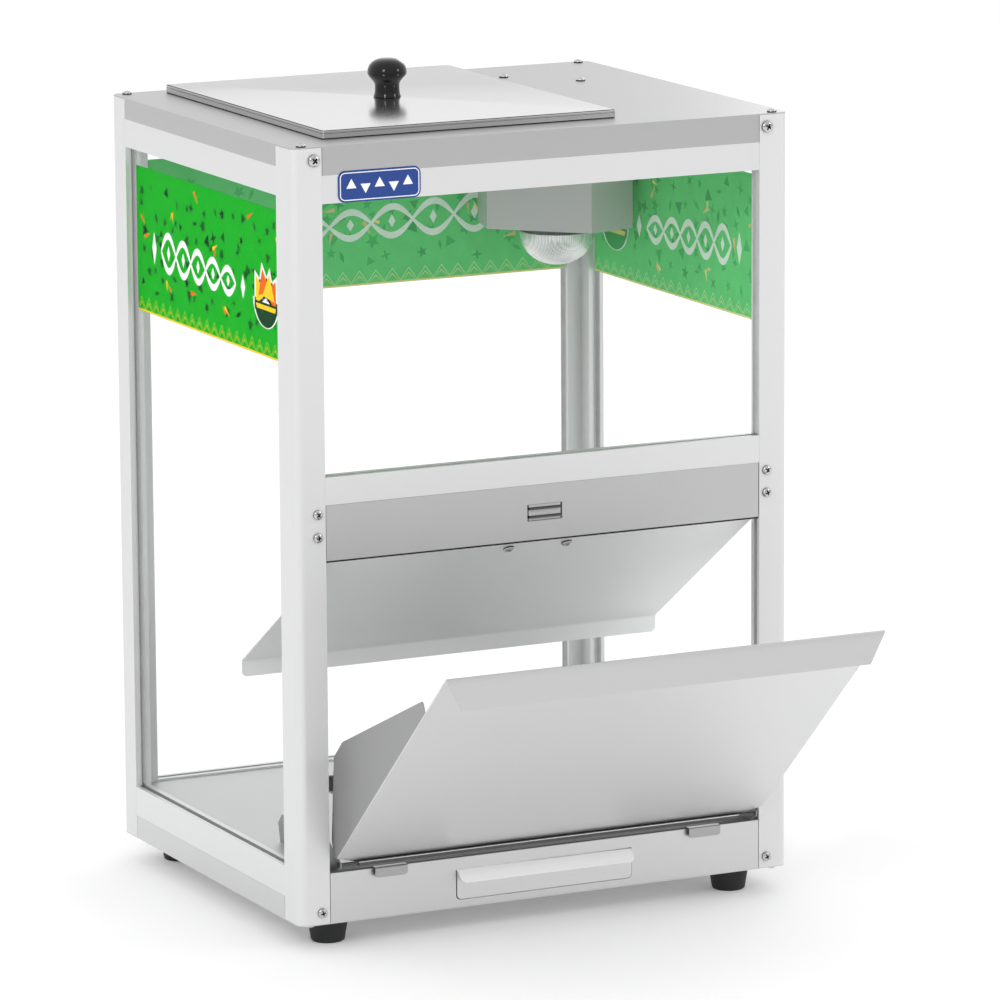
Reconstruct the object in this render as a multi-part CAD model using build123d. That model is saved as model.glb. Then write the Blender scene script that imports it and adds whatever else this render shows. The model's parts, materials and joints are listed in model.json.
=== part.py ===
from build123d import *
import math
import os

# Countertop warming cabinet for tortilla chips: aluminium corner posts and rails,
# glass walls, a lift-off lid over the fill opening, a lamp, a sloping baffle, a
# tilt-out serving door and a crumb drawer. Millimetres; +Z up, front towards -Y.
# Every piece is drawn with y = 0 at the middle of the cabinet and the whole is then
# moved so that the origin is on the floor under the middle of the outline, door open.

# Cabinet
width = 450.0
depth = 370.0
frame_height = 640.0
foot_height = 22.0
sheet = 1.0
corner_radius = 8.0

# Corner posts and rails (aluminium extrusions)
post_face = 27.0
post_side = 30.0
profile_depth = 14.0
profile_wall = 1.6
groove_width = 5.0
groove_depth = 8.0
groove_inset = 4.0

# Glass
glass_thickness = 4.0
glass_bite = 7.0

# Heights above the underside of the base pan
cover_lip_front = 23.4
cover_lip_side = 17.6
rail_top_front_low = 593.5
rail_top_side_low = 598.7
mid_rail_low = 348.0
mid_rail_high = 371.0
band_low = 302.0
bottom_rail_high = 45.3
pan_lip = 19.7
panel_high = 42.4

# Lid over the fill opening
lid_low_x = -181.0
lid_high_x = 84.0
lid_low_y = -149.0
lid_high_y = 171.0
lid_height = 7.0
fill_margin = 20.0
knob_diameter = 33.0
knob_height = 32.5

# Baffle below the storage space
baffle_half_width = 194.0
baffle_end_y = -3.5
baffle_end_z = 184.0
baffle_lip = 14.0

# Tilt-out door, drawn closed and turned to its open stop
hinge_y = -190.0
hinge_z = 50.0
rod_radius = 1.5
curl_gap = 0.1
door_open_angle = 47.6
door_half_width = 195.5
door_top = 342.0
door_lip = 27.0
door_lip_mitre = 13.0
curl_half_length = 175.0
bracket_x = 192.0

# Crumb drawer
drawer_low_x = -84.0
drawer_high_x = 78.0
drawer_low_z = 6.5
drawer_high_z = 32.5
drawer_back_y = 115.0
deck_hole_back_y = 123.0

# Lamp in the rear right corner
lamp_x = 154.5
lamp_y = 104.0
lamp_radius = 32.5
lamp_shield_low = 511.0

# Screws
m4_head = 8.0
m5_head = 10.0
post_screw_x = 205.0

x_side = width / 2
y_front = -depth / 2
y_back = depth / 2
base = foot_height
inner_x = x_side - post_face
inner_y = y_back - post_side
groove_mid = groove_inset + groove_width / 2
deck_top = base + panel_high + sheet


def block(x0, x1, y0, y1, z0, z1):
    """Rectangular solid between two opposite corners."""
    size = (abs(x1 - x0), abs(y1 - y0), abs(z1 - z0))
    middle = ((x0 + x1) / 2, (y0 + y1) / 2, (z0 + z1) / 2)
    return Pos(*middle) * Box(*size)


def rect(u0, u1, v0, v1):
    """Rectangle in a sketch between two opposite corners."""
    return Pos((u0 + u1) / 2, (v0 + v1) / 2) * Rectangle(abs(u1 - u0), abs(v1 - v0))


def along_x(sketch, x0, x1):
    """Section drawn in (y, z), drawn out from x0 to x1."""
    plane = Plane(origin=(x0, 0, 0), x_dir=(0, 1, 0), z_dir=(1, 0, 0))
    return extrude(plane * sketch, x1 - x0)


def along_y(sketch, y0, y1):
    """Section drawn in (x, z), drawn out from y0 to y1."""
    plane = Plane(origin=(0, y1, 0), x_dir=(1, 0, 0), z_dir=(0, -1, 0))
    return extrude(plane * sketch, y1 - y0)


def polygon(*points):
    """Closed outline through the points."""
    return make_face(Polyline(*points, close=True))


def rod(diameter, start, end):
    """Round bar between two points."""
    axis = Vector(*end) - Vector(*start)
    plane = Plane(origin=start, z_dir=axis)
    return extrude(plane * Circle(diameter / 2), axis.length)


def mirrored(solid):
    """The same piece on the other side of the cabinet."""
    return solid.mirror(Plane.YZ)


def screw(head, length, place, direction):
    """Pan-head cross-recess screw; place is under the head, direction is into the work."""
    rise = head * 0.32
    shank = head * 0.25
    half = Polyline((0, 0), (shank * 2, 0), (shank * 2, rise * 0.35))
    dome = ThreePointArc((shank * 2, rise * 0.35), (shank * 1.2, rise * 0.88), (0, rise))
    section = make_face([half, dome, Line((0, rise), (0, 0))])
    body = revolve(Plane.XZ * section, Axis.Z)
    body += Pos(0, 0, -length / 2) * Cylinder(shank, length)
    for turn in (0, 90):
        body -= Rot(0, 0, turn) * Pos(0, 0, rise) * Box(head * 0.5, head * 0.12, rise)
    axis = Vector(*direction) * -1
    return Plane(origin=place, z_dir=axis).location * body


def post_section():
    """L section with its outer corner at (0, 0): face along +u, side along +v."""
    core = rect(0, post_face, 0, profile_depth) + rect(0, profile_depth, 0, post_side)
    outer = core.vertices().sort_by_distance((0, 0, 0))[0]
    core = fillet(outer, corner_radius)
    end_u = post_face - groove_depth - profile_wall
    end_v = post_side - groove_depth - profile_wall
    far = profile_depth - profile_wall
    hollow = rect(profile_wall, end_u, profile_wall, far)
    hollow += rect(profile_wall, far, profile_wall, end_v)
    corner = hollow.vertices().sort_by_distance((0, 0, 0))[0]
    hollow = fillet(corner, corner_radius - profile_wall)
    groove_far = groove_inset + groove_width
    face_groove = rect(post_face - groove_depth, post_face, groove_inset, groove_far)
    side_groove = rect(groove_inset, groove_far, post_side - groove_depth, post_side)
    return core - hollow - face_groove - side_groove


def post(side, end, screw_heights):
    """Corner post; side is -1 left or 1 right, end is -1 front or 1 rear."""
    length = frame_height - 2 * sheet
    solid = extrude(post_section(), length)
    for height in screw_heights:
        u = x_side - post_screw_x
        hole = Pos(u, profile_depth / 2, height - sheet) * Rot(90, 0, 0)
        solid -= hole * Cylinder(2.3 if height < 600 else 2.8, profile_depth + 2)
    if side > 0:
        solid = solid.mirror(Plane.YZ)
    if end > 0:
        solid = solid.mirror(Plane.XZ)
    return Pos(side * x_side, end * y_back, base + sheet) * solid


def rail_section(low, high, step_low, step_high, groove_top):
    """Hollow rail in (depth from the outer face, height), stepped back behind a sheet flange."""
    body = rect(0, profile_depth, low, high)
    if step_high > step_low:
        body -= rect(-1, sheet + 0.2, step_low, step_high)
    groove_far = groove_inset + groove_width
    if groove_top:
        groove = rect(groove_inset, groove_far, high - groove_depth, high + 1)
        hollow = rect(3.0, 12.4, low + profile_wall, high - groove_depth - profile_wall)
    else:
        groove = rect(groove_inset, groove_far, low - 1, low + groove_depth)
        hollow = rect(3.0, 12.4, low + groove_depth + profile_wall, high - profile_wall)
    return body - groove - hollow


def rail(side, section, length):
    """Rail along one side of the cabinet, 'front', 'rear', 'left' or 'right'."""
    half = length / 2
    bar = along_x(section, -half, half)
    bar = Pos(0, y_front, base) * bar
    if side == "front":
        return bar
    if side == "rear":
        return bar.mirror(Plane.XZ)
    turned = Pos(0, -y_front, 0) * bar
    turned = Rot(0, 0, -90) * turned
    turned = Pos(-x_side, 0, 0) * turned
    if side == "left":
        return turned
    return turned.mirror(Plane.YZ)


def top_rail(side):
    """Rail under the cover, grooved below for the glass."""
    high = frame_height - sheet
    if side in ("front", "rear"):
        low = rail_top_front_low
        step = frame_height - cover_lip_front
        length = 2 * inner_x
    else:
        low = rail_top_side_low
        step = frame_height - cover_lip_side
        length = 2 * inner_y
    solid = rail(side, rail_section(low, high, step, high + 1, False), length)
    if side == "rear":
        solid -= power_cutouts()
    return solid


def power_cutouts():
    """Holes in the rear for the switch and the appliance inlet."""
    switch = block(110.4, 129.6, y_back - 16, y_back + 1, base + 610, base + 623.2)
    inlet = block(144, 171.4, y_back - 16, y_back + 1, base + 607.2, base + 627.2)
    return switch + inlet


def bottom_rail(side):
    """Rail on the base pan, grooved above for the glass."""
    length = 2 * (inner_x if side == "rear" else inner_y)
    return rail(side, rail_section(sheet, bottom_rail_high, 0, pan_lip, True), length)


def mid_rail():
    """Rail across the front under the upper glass."""
    section = rail_section(mid_rail_low, mid_rail_high, 0, 0, True)
    return rail("front", section, 2 * inner_x)


def glass(side):
    """Plain glass pane that stands in the grooves."""
    near = groove_mid - glass_thickness / 2
    far = groove_mid + glass_thickness / 2
    low = base + bottom_rail_high - glass_bite
    if side in ("front", "rear"):
        if side == "front":
            low = base + mid_rail_high - glass_bite
        half = inner_x + glass_bite
        high = base + rail_top_front_low + glass_bite
        pane = block(-half, half, y_front + near, y_front + far, low, high)
        return pane if side == "front" else pane.mirror(Plane.XZ)
    half = inner_y + glass_bite
    high = base + rail_top_side_low + glass_bite
    pane = block(-x_side + near, -x_side + far, -half, half, low, high)
    return pane if side == "left" else pane.mirror(Plane.YZ)


def seals():
    """Rubber glazing strips on both faces of each pane, in the upright grooves."""
    strips = []
    lip = 1.5
    slack = (groove_width - glass_thickness) / 2 - 0.05
    for face in (groove_inset + 0.02, groove_inset + groove_width - slack - 0.02):
        for side in ("front", "rear", "left", "right"):
            low = base + (mid_rail_high if side == "front" else bottom_rail_high) + 1
            if side in ("front", "rear"):
                high = base + rail_top_front_low - 1
                edge = inner_x - lip
                strip = block(edge, edge + glass_bite, y_front + face, y_front + face + slack, low, high)
                strip = strip if side == "front" else strip.mirror(Plane.XZ)
                strips += [strip, strip.mirror(Plane.YZ)]
            else:
                high = base + rail_top_side_low - 1
                edge = inner_y - lip
                strip = block(-x_side + face, -x_side + face + slack, edge, edge + glass_bite, low, high)
                strip = strip if side == "left" else strip.mirror(Plane.YZ)
                strips += [strip, strip.mirror(Plane.XZ)]
    return Compound(strips)


def corner_sheet(low):
    """Full-size sheet with rounded corners, one sheet thick."""
    outline = RectangleRounded(width, depth, corner_radius)
    return Pos(0, 0, low) * extrude(outline, sheet)


def cover_screw_places():
    """Screws that hold the cover and the base pan to the ends of the posts."""
    return [(sx * 213.0, sy * 178.0) for sx in (-1, 1) for sy in (-1, 1)]


def top_cover():
    """Cover with turned-down edges between the posts and a raised collar round the opening."""
    top = base + frame_height
    solid = corner_sheet(top - sheet)
    for sy in (-1, 1):
        low = top - cover_lip_front
        solid += block(-inner_x + 0.5, inner_x - 0.5, sy * y_back, sy * (y_back - sheet), low, top)
    for sx in (-1, 1):
        low = top - cover_lip_side
        solid += block(sx * x_side, sx * (x_side - sheet), -inner_y + 0.5, inner_y - 0.5, low, top)
    x0 = lid_low_x + fill_margin
    x1 = lid_high_x - fill_margin
    y0 = lid_low_y + fill_margin
    y1 = lid_high_y - fill_margin
    solid += block(x0 - sheet, x1 + sheet, y0 - sheet, y1 + sheet, top - sheet, top + 4.5)
    solid -= block(x0, x1, y0, y1, top - 5, top + 10)
    for x, y in cover_screw_places() + lamp_screw_places():
        solid -= Pos(x, y, top) * Cylinder(2.2, 6)
    return solid - power_cutouts()


def base_pan():
    """Floor sheet under the posts with turned-up sides and rear."""
    solid = corner_sheet(base)
    solid += block(-inner_x + 0.5, inner_x - 0.5, y_back, y_back - sheet, base, base + pan_lip)
    for sx in (-1, 1):
        lip_x = sx * x_side
        solid += block(lip_x, lip_x - sx * sheet, -inner_y + 0.5, inner_y - 0.5, base, base + pan_lip)
    for x, y in cover_screw_places() + foot_places():
        solid -= Pos(x, y, base) * Cylinder(2.3, 6)
    return solid


def front_panel():
    """Lower front panel with the drawer window and a flange along its top and bottom."""
    half = inner_x - 0.5
    low = base + sheet
    high = base + panel_high
    solid = block(-half, half, y_front, y_front + sheet, low, high)
    solid += block(-half, half, y_front, y_front + 10, high - sheet, high)
    solid += block(-half, half, y_front, y_front + 12, low, low + sheet)
    window = drawer_window(0.0)
    return solid - window


def drawer_window(gap):
    """Prism of the drawer's window, smaller all round by the gap, with rounded lower corners."""
    outline = rect(drawer_low_x + gap, drawer_high_x - gap, drawer_low_z + gap, drawer_high_z - gap)
    lower = outline.vertices().sort_by(Axis.Y)[:2]
    outline = fillet(lower, 4.0)
    return Pos(0, 0, base) * along_y(outline, y_front - 2, y_front + 3)


def deck_plate():
    """Inner floor over the drawer, with the crumb opening and two hooks over the front panel."""
    low = base + panel_high
    half = x_side - profile_depth - 0.5
    back = y_back - profile_depth - 0.5
    solid = block(-half, half, -back, back, low, deck_top)
    solid += block(-inner_x + 0.5, inner_x - 0.5, y_front + 1, -back, low, deck_top)
    solid -= block(drawer_low_x, drawer_high_x, y_front + 11, deck_hole_back_y, low - 5, deck_top + 5)
    hook_out = 3.6
    for sx in (-1, 1):
        x0 = sx * 130.5
        x1 = sx * 158.5
        solid += block(x0, x1, y_front - hook_out, y_front + 2, low, deck_top)
        solid += block(x0, x1, y_front - hook_out, y_front - hook_out + sheet, base + 35.6, deck_top)
    for x, y in bracket_rivet_places():
        solid -= Pos(x, y, low) * Cylinder(1.6, 6)
    return solid


def deck_supports():
    """Two angle strips on the side rails under the deck."""
    strips = []
    half = x_side - profile_depth
    low = base + panel_high
    for sx in (-1, 1):
        ledge = block(sx * half, sx * (half - 14), -130, 130, low - sheet, low)
        ledge += block(sx * half, sx * (half - sheet), -130, 130, low - 14, low)
        strips.append(ledge)
    return Compound(strips)


def bracket_rivet_places():
    """Rivets through the feet of the two hinge brackets."""
    return [(sx * (bracket_x - 8.0), y) for sx in (-1, 1) for y in (-145.0, -95.0)]


def hinge_bracket(side):
    """Upright plate on the deck that carries the hinge rod and ends in a rounded nose."""
    low = deck_top - base
    outline = polygon(
        (hinge_y, hinge_z - 3), (-184, low), (-73, low), (-69, 59), (-76, 67.5),
        (-165, 67.5), (hinge_y - 1, hinge_z + 3), (hinge_y - 2.6, hinge_z))
    outline += Pos(hinge_y, hinge_z) * Circle(3.2)
    outline -= Pos(hinge_y, hinge_z) * Circle(rod_radius + 0.05)
    plate = Pos(0, 0, base) * along_x(outline, bracket_x - sheet, bracket_x)
    foot = block(bracket_x - 15, bracket_x, -160, -80, deck_top, deck_top + sheet)
    ear = block(bracket_x - 22, bracket_x, -182, -176, base + 56.2, base + 57.2)
    solid = plate + foot + ear
    for x, y in bracket_rivet_places():
        solid -= Pos(abs(x), y, deck_top) * Cylinder(1.6, 6)
    return solid if side > 0 else mirrored(solid)


def bracket_rivets():
    """Flat-head rivets of the hinge brackets."""
    rivets = []
    for x, y in bracket_rivet_places():
        shank = rod(3.0, (x, y, deck_top - sheet - 0.8), (x, y, deck_top + sheet))
        head = rod(5.6, (x, y, deck_top + sheet), (x, y, deck_top + sheet + 1.2))
        tail = rod(4.6, (x, y, deck_top - sheet - 1.2), (x, y, deck_top - sheet))
        rivets.append(shank + head + tail)
    return Compound(rivets)


def hinge_rod():
    """Steel rod between the two brackets, upset at its ends."""
    z = base + hinge_z
    bar = rod(2 * rod_radius, (-bracket_x - 0.6, hinge_y, z), (bracket_x + 0.6, hinge_y, z))
    for sx in (-1, 1):
        x0 = sx * (bracket_x + 0.1)
        bar += rod(2 * rod_radius + 1.6, (x0, hinge_y, z), (x0 + sx * 0.9, hinge_y, z))
    return bar


def band():
    """Stainless band above the door with the window of the catch."""
    half = inner_x - 0.5
    face = y_front + 0.2
    low = base + band_low
    high = base + mid_rail_low
    solid = block(-half, half, face, face + sheet, low, high)
    solid += block(-half, half, face, face + 20, high - sheet, high)
    for sx in (-1, 1):
        x0 = sx * half
        solid += block(x0, x0 - sx * sheet, face, face + 20, low, high)
    return solid - block(-16.6, 15.0, face - 1, face + 2, base + 318, base + 331.5)


def baffle():
    """Sloping sheet from the band to the lip over the rear gap, hung behind the band."""
    front_y = y_front + 1.4
    slope = math.atan2(band_low + 1 - baffle_end_z, baffle_end_y - front_y)
    drop = sheet / math.cos(slope)
    high_front = band_low + 1 + drop - sheet * math.tan(slope)
    high_end = baffle_end_z + drop - sheet * math.tan(slope)
    outline = polygon(
        (front_y, band_low + 12), (front_y, band_low + 1), (baffle_end_y, baffle_end_z),
        (baffle_end_y, baffle_end_z - baffle_lip), (baffle_end_y + sheet, baffle_end_z - baffle_lip),
        (baffle_end_y + sheet, high_end), (front_y + sheet, high_front),
        (front_y + sheet, band_low + 12))
    half = baffle_half_width
    solid = Pos(0, 0, base) * along_x(outline, -half, half)
    for x in catch_screw_x():
        y, z = baffle_point(16.0)
        normal = baffle_normal()
        start = (x, y - 6 * normal[0], base + z - 6 * normal[1])
        end = (x, y + 6 * normal[0], base + z + 6 * normal[1])
        solid -= rod(4.6, start, end)
    return solid


def baffle_direction():
    """Unit vector down the baffle in (y, z)."""
    run = baffle_end_y - y_front - 1.4
    fall = baffle_end_z - band_low - 1
    size = math.hypot(run, fall)
    return (run / size, fall / size)


def baffle_normal():
    """Unit vector out of the baffle's lower face in (y, z)."""
    run, fall = baffle_direction()
    return (fall, -run)


def baffle_point(distance):
    """Point on the baffle's lower face at a distance from its top edge."""
    run, fall = baffle_direction()
    return (y_front + 1.4 + distance * run, band_low + 1 + distance * fall)


def catch_screw_x():
    """Places of the two catch screws."""
    return (-27.0, 26.0)


def catch_screws():
    """Two small screws up through the baffle into the catch."""
    screws = []
    y, z = baffle_point(16.0)
    out_y, out_z = baffle_normal()
    for x in catch_screw_x():
        place = (x, y, base + z)
        screws.append(screw(m4_head + 1, 9.0, place, (0, -out_y, -out_z)))
    return Compound(screws)


def catch_body():
    """Plastic housing of the magnetic catch behind the band."""
    y0 = y_front + 3.6
    z0 = base + 317
    z1 = base + 333
    housing = block(-20, 18, y0, y0 + 14, z0, z1)
    housing -= block(-15.6, 14, y0 - 1, y0 + 12, z0 + 2.4, z1 - 2.4)
    return housing


def catch_magnet():
    """Ferrite bar magnet between the pole plates."""
    return block(-14.6, 13, y_front + 2, y_front + 15, base + 322.1, base + 327.4)


def catch_plates():
    """Two steel pole plates that reach just in front of the band."""
    plates = []
    for low in (320.5, 327.5):
        plates.append(block(-15.2, 13.6, y_front - 1.4, y_front + 15, base + low, base + low + 1.5))
    return Compound(plates)


def door_closed_to_open(solid):
    """Turn a piece of the closed door about the hinge rod to its open stop."""
    to_hinge = Pos(0, hinge_y, base + hinge_z)
    back = Pos(0, -hinge_y, -base - hinge_z)
    return to_hinge * Rot(door_open_angle, 0, 0) * back * solid


def door_panel():
    """Front sheet of the door with a curl round the rod and a turned-out handle lip."""
    inner = rod_radius + curl_gap
    outer = inner + sheet
    back = hinge_y + outer
    front = hinge_y + inner
    curl = Pos(hinge_y, hinge_z) * (Circle(outer) - Circle(inner))
    curl -= rect(hinge_y - 0.5, hinge_y + inner - 0.4, hinge_z + 1, hinge_z + 6)
    curl = along_x(curl, -curl_half_length, curl_half_length)
    lower = along_x(rect(front, back, hinge_z, hinge_z + 12), -curl_half_length, curl_half_length)
    face = rect(front, back, hinge_z + 5.2, door_top)
    face = along_x(face, -door_half_width, door_half_width)
    for sx in (-1, 1):
        corner = polygon(
            (sx * curl_half_length, hinge_z - 1), (sx * (door_half_width + 2), hinge_z - 1),
            (sx * (door_half_width + 2), hinge_z + 9))
        face -= along_y(corner, front - 2, back + 2)
    lip = handle_lip(front, back)
    solid = curl + lower + face + lip
    return door_closed_to_open(Pos(0, 0, base) * solid)


def handle_lip(front, back):
    """Lip at the door's top edge: it hangs straight down when the door is open."""
    angle = math.radians(door_open_angle)
    out_y = -math.sin(angle)
    out_z = -math.cos(angle)
    across = (out_z, -out_y)
    start = (front + 0.2, door_top)
    end = (start[0] + door_lip * out_y, start[1] + door_lip * out_z)
    low_end = (end[0] + sheet * across[0] * -1, end[1] + sheet * across[1] * -1)
    low_start = (front, door_top - sheet * 2.2)
    section = polygon((back, door_top), start, end, low_end, low_start, (back, door_top - sheet * 2.2))
    lip = along_x(section, -door_half_width, door_half_width)
    for sx in (-1, 1):
        corner = polygon(
            (sx * door_half_width, front - 0.4), (sx * (door_half_width + 2), front - 0.4),
            (sx * (door_half_width + 2), end[0] - 2),
            (sx * (door_half_width - door_lip_mitre), end[0] - 2))
        lip -= Pos(0, 0, door_top - 60) * extrude(corner, 90)
    return lip


def door_cheek(side):
    """Side wall of the door, a wedge that swings into the cabinet when the door closes."""
    back = hinge_y + rod_radius + curl_gap + sheet + 0.05
    outline = polygon(
        (back, 55.2), (back, 288), (-177.5, 291), (-122.3, 134), (-122.8, 111), (-171, 58.5),
        (-181, 55.2))
    points = outline.vertices()
    tip = points.sort_by_distance((-177.5, 291, 0))[0]
    outline = fillet(tip, 3.0)
    for place in ((-122.3, 134, 0), (-122.8, 111, 0)):
        corner = outline.vertices().sort_by_distance(place)[0]
        outline = fillet(corner, 2.0)
    plate = along_x(outline, door_half_width - sheet, door_half_width)
    solid = door_closed_to_open(Pos(0, 0, base) * plate)
    return solid if side > 0 else mirrored(solid)


def door_stops():
    """Two tongues on the curl that meet the bracket ears when the door is open."""
    closed_angle = math.radians(-21.0)
    reach = 12.0
    root = rod_radius + curl_gap + 0.6
    half = 0.6
    run = (math.cos(closed_angle), math.sin(closed_angle))
    up = (-run[1], run[0])
    corners = []
    for along, across in ((root, -half), (reach, -half), (reach, half), (root, half)):
        y = hinge_y + along * run[0] + across * up[0]
        z = hinge_z + along * run[1] + across * up[1]
        corners.append((y, z))
    tongue = along_x(polygon(*corners), curl_half_length - 4.5, curl_half_length)
    tongue = door_closed_to_open(Pos(0, 0, base) * tongue)
    return tongue + mirrored(tongue)


def door_with_stops():
    """Door sheet with its stop tongues."""
    return door_panel() + door_stops()


def drawer_tray():
    """Open crumb tray behind the drawer front."""
    wall = 0.8
    gap = 1.2
    low = drawer_low_z + 0.6
    outer = rect(drawer_low_x + gap, drawer_high_x - gap, low, drawer_high_z - gap)
    outer = fillet(outer.vertices().sort_by(Axis.Y)[:2], 4.0)
    inner = rect(
        drawer_low_x + gap + wall, drawer_high_x - gap - wall, low + wall, drawer_high_z + 1)
    inner = fillet(inner.vertices().sort_by(Axis.Y)[:2], 3.2)
    solid = along_y(outer, y_front + 0.4, drawer_back_y)
    solid -= along_y(inner, y_front + 0.4 + wall, drawer_back_y - wall)
    return Pos(0, 0, base) * solid


def drawer_front():
    """Drawer front in the window, with the pull lip along its top."""
    plate = drawer_window(0.5) & block(-200, 200, y_front - 0.7, y_front + 0.3, base, base + 50)
    high = drawer_high_z - 0.5
    out = 9.0
    fall = 9.0
    lip = polygon(
        (y_front + 0.3, high), (y_front - 0.7, high), (y_front - 0.7 - out, high - fall),
        (y_front - 0.7 - out, high - fall - sheet), (y_front - 0.7, high - sheet - 0.1),
        (y_front + 0.3, high - sheet))
    lip = Pos(0, 0, base) * along_x(lip, drawer_low_x + 0.8, drawer_high_x - 0.8)
    plan = rect(drawer_low_x + 0.8, drawer_high_x - 0.8, y_front - 0.7 - out, y_front + 0.3)
    corners = plan.vertices().sort_by(Axis.Y)[:2]
    lip &= Pos(0, 0, base) * extrude(fillet(corners, 5.0), 60)
    return plate + lip


def drawer_runners():
    """Z-section runners that carry the tray, fixed to the base pan."""
    runners = []
    for low_x, sign in ((drawer_low_x, 1), (drawer_high_x, -1)):
        wall_x = low_x - sign * 1.0
        floor = base + sheet
        top = base + drawer_low_z + 0.5
        foot = block(wall_x, wall_x - sign * 14, y_front + 14, drawer_back_y, floor, floor + sheet)
        wall = block(wall_x, wall_x - sign * sheet, y_front + 14, drawer_back_y, floor, top)
        ledge = block(wall_x - sign * sheet, wall_x + sign * 12, y_front + 14, drawer_back_y, top - sheet, top)
        runners.append(foot + wall + ledge)
    return Compound(runners)


def lid_pan():
    """Lift-off lid: a shallow pan turned over the collar."""
    low = base + frame_height
    high = low + lid_height
    solid = block(lid_low_x, lid_high_x, lid_low_y, lid_high_y, low, high)
    upright = solid.edges().filter_by(Axis.Z)
    solid = fillet(upright, 3.0)
    inside = block(
        lid_low_x + sheet, lid_high_x - sheet, lid_low_y + sheet, lid_high_y - sheet,
        low - 1, high - sheet)
    x, y = lid_centre()
    return solid - inside - Pos(x, y, high) * Cylinder(2.6, 6)


def lid_centre():
    """Middle of the lid, where the knob stands."""
    return ((lid_low_x + lid_high_x) / 2, (lid_low_y + lid_high_y) / 2)


def lid_knob():
    """Mushroom knob moulded in black plastic."""
    neck = 10.6
    waist = 8.8
    head = knob_diameter / 2
    profile = [
        Line((2.6, 0), (neck, 0)),
        Line((neck, 0), (neck, 2.5)),
        Spline((neck, 2.5), (waist, 8), (10.5, 13), (head, 22), tangents=((0, 1), (0.25, 1))),
        Spline((head, 22), (head * 0.72, 29.6), (0, knob_height), tangents=((0, 1), (-1, 0))),
        Line((0, knob_height), (0, 12)),
        Line((0, 12), (2.6, 12)),
        Line((2.6, 12), (2.6, 0)),
    ]
    x, y = lid_centre()
    body = revolve(Plane.XZ * make_face(profile), Axis.Z)
    return Pos(x, y, base + frame_height + lid_height) * body


def lid_screw():
    """Screw up through the lid into the knob."""
    x, y = lid_centre()
    place = (x, y, base + frame_height + lid_height - sheet)
    return screw(9.6, 11.0, place, (0, 0, 1))


def lamp_screw_places():
    """Two screws through the cover into the lamp shield's flange."""
    return [(113.0, 121.0), (161.0, 70.0)]


def inward(points, distance):
    """The same open path moved to its left by a distance, with its corners kept sharp."""
    lines = []
    for (x0, y0), (x1, y1) in zip(points, points[1:]):
        size = math.hypot(x1 - x0, y1 - y0)
        nx = -(y1 - y0) / size
        ny = (x1 - x0) / size
        lines.append((nx, ny, nx * x0 + ny * y0 + distance))
    moved = [(points[0][0] + distance * lines[0][0], points[0][1] + distance * lines[0][1])]
    for (a, b, c), (d, e, f) in zip(lines, lines[1:]):
        det = a * e - b * d
        moved.append(((c * e - b * f) / det, (a * f - c * d) / det))
    moved.append((points[-1][0] + distance * lines[-1][0], points[-1][1] + distance * lines[-1][1]))
    return moved


def shield_path():
    """Plan of the lamp shield: a face at 45 degrees with two wings flared by 30 degrees."""
    left_end = (93.0 + 41 * math.cos(math.radians(75)), 114.5 + 41 * math.sin(math.radians(75)))
    right_end = (160.0 + 47 * math.cos(math.radians(15)), 47.5 + 47 * math.sin(math.radians(15)))
    return [left_end, (93.0, 114.5), (160.0, 47.5), right_end]


def lamp_shield():
    """Bent sheet in front of the lamp, open at the back, hung from the cover by its flange."""
    high = base + frame_height - sheet
    low = base + lamp_shield_low
    outer = shield_path()
    wall = polygon(*(outer + inward(outer, sheet)[::-1]))
    solid = Pos(0, 0, low) * extrude(wall, high - low)
    reach = 58.0 * math.sqrt(0.5)
    flange = polygon(outer[1], outer[2], (160 + reach, 47.5 + reach), (93 + reach, 114.5 + reach))
    solid += Pos(0, 0, high - sheet) * extrude(flange, sheet)
    for x, y in lamp_screw_places():
        solid -= Pos(x, y, high) * Cylinder(2.2, 6)
    return solid


def lamp_socket():
    """Porcelain lamp holder under the shield's flange."""
    high = base + frame_height - 2 * sheet
    outer = Pos(lamp_x, lamp_y, high - 27) * Cylinder(19.5, 54)
    collar = Pos(lamp_x, lamp_y, high - 48) * Cylinder(21.5, 12)
    bore = Pos(lamp_x, lamp_y, high - 37) * Cylinder(14.2, 36)
    return outer + collar - bore


def lamp_cap():
    """Screw cap of the lamp."""
    high = base + frame_height - 2 * sheet - 22
    return Pos(lamp_x, lamp_y, high - 13.5) * Cylinder(13.4, 27)


def lamp_bulb():
    """Reflector lamp: neck, flared reflector and domed face, drawn as one glass body."""
    top = base + frame_height - 2 * sheet - 49.2
    rim = base + 505
    bottom = base + 477
    flare = [(14.5, top - 12), (24, top - 48), (lamp_radius, rim)]
    dome = [(lamp_radius, rim), (24, bottom + 8), (0, bottom)]
    profile = [
        Line((0, top), (13.4, top)),
        Line((13.4, top), (14.5, top - 12)),
        Spline(*flare, tangents=((0.05, -1), (0.12, -1))),
        Spline(*dome, tangents=((0, -1), (-1, 0))),
        Line((0, bottom), (0, top)),
    ]
    body = revolve(Plane.XZ * make_face(profile), Axis.Z)
    return Pos(lamp_x, lamp_y, 0) * body


def screws_at(head, length, places, direction):
    """Group of equal screws."""
    return Compound([screw(head, length, place, direction) for place in places])


def post_screws():
    """Screws through the faces of the front and rear posts."""
    group = []
    for sx in (-1, 1):
        for end, heights in ((-1, (10.0, 322.0, 341.0, 629.0)), (1, (10.0, 629.0))):
            for height in heights:
                place = (sx * post_screw_x, end * y_back, base + height)
                head = m5_head if height > 600 else m4_head
                group.append(screw(head, 12.0, place, (0, -end, 0)))
    return Compound(group)


def foot_places():
    """Middles of the four feet."""
    return [(sx * 186.0, sy * 153.0) for sx in (-1, 1) for sy in (-1, 1)]


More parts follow.
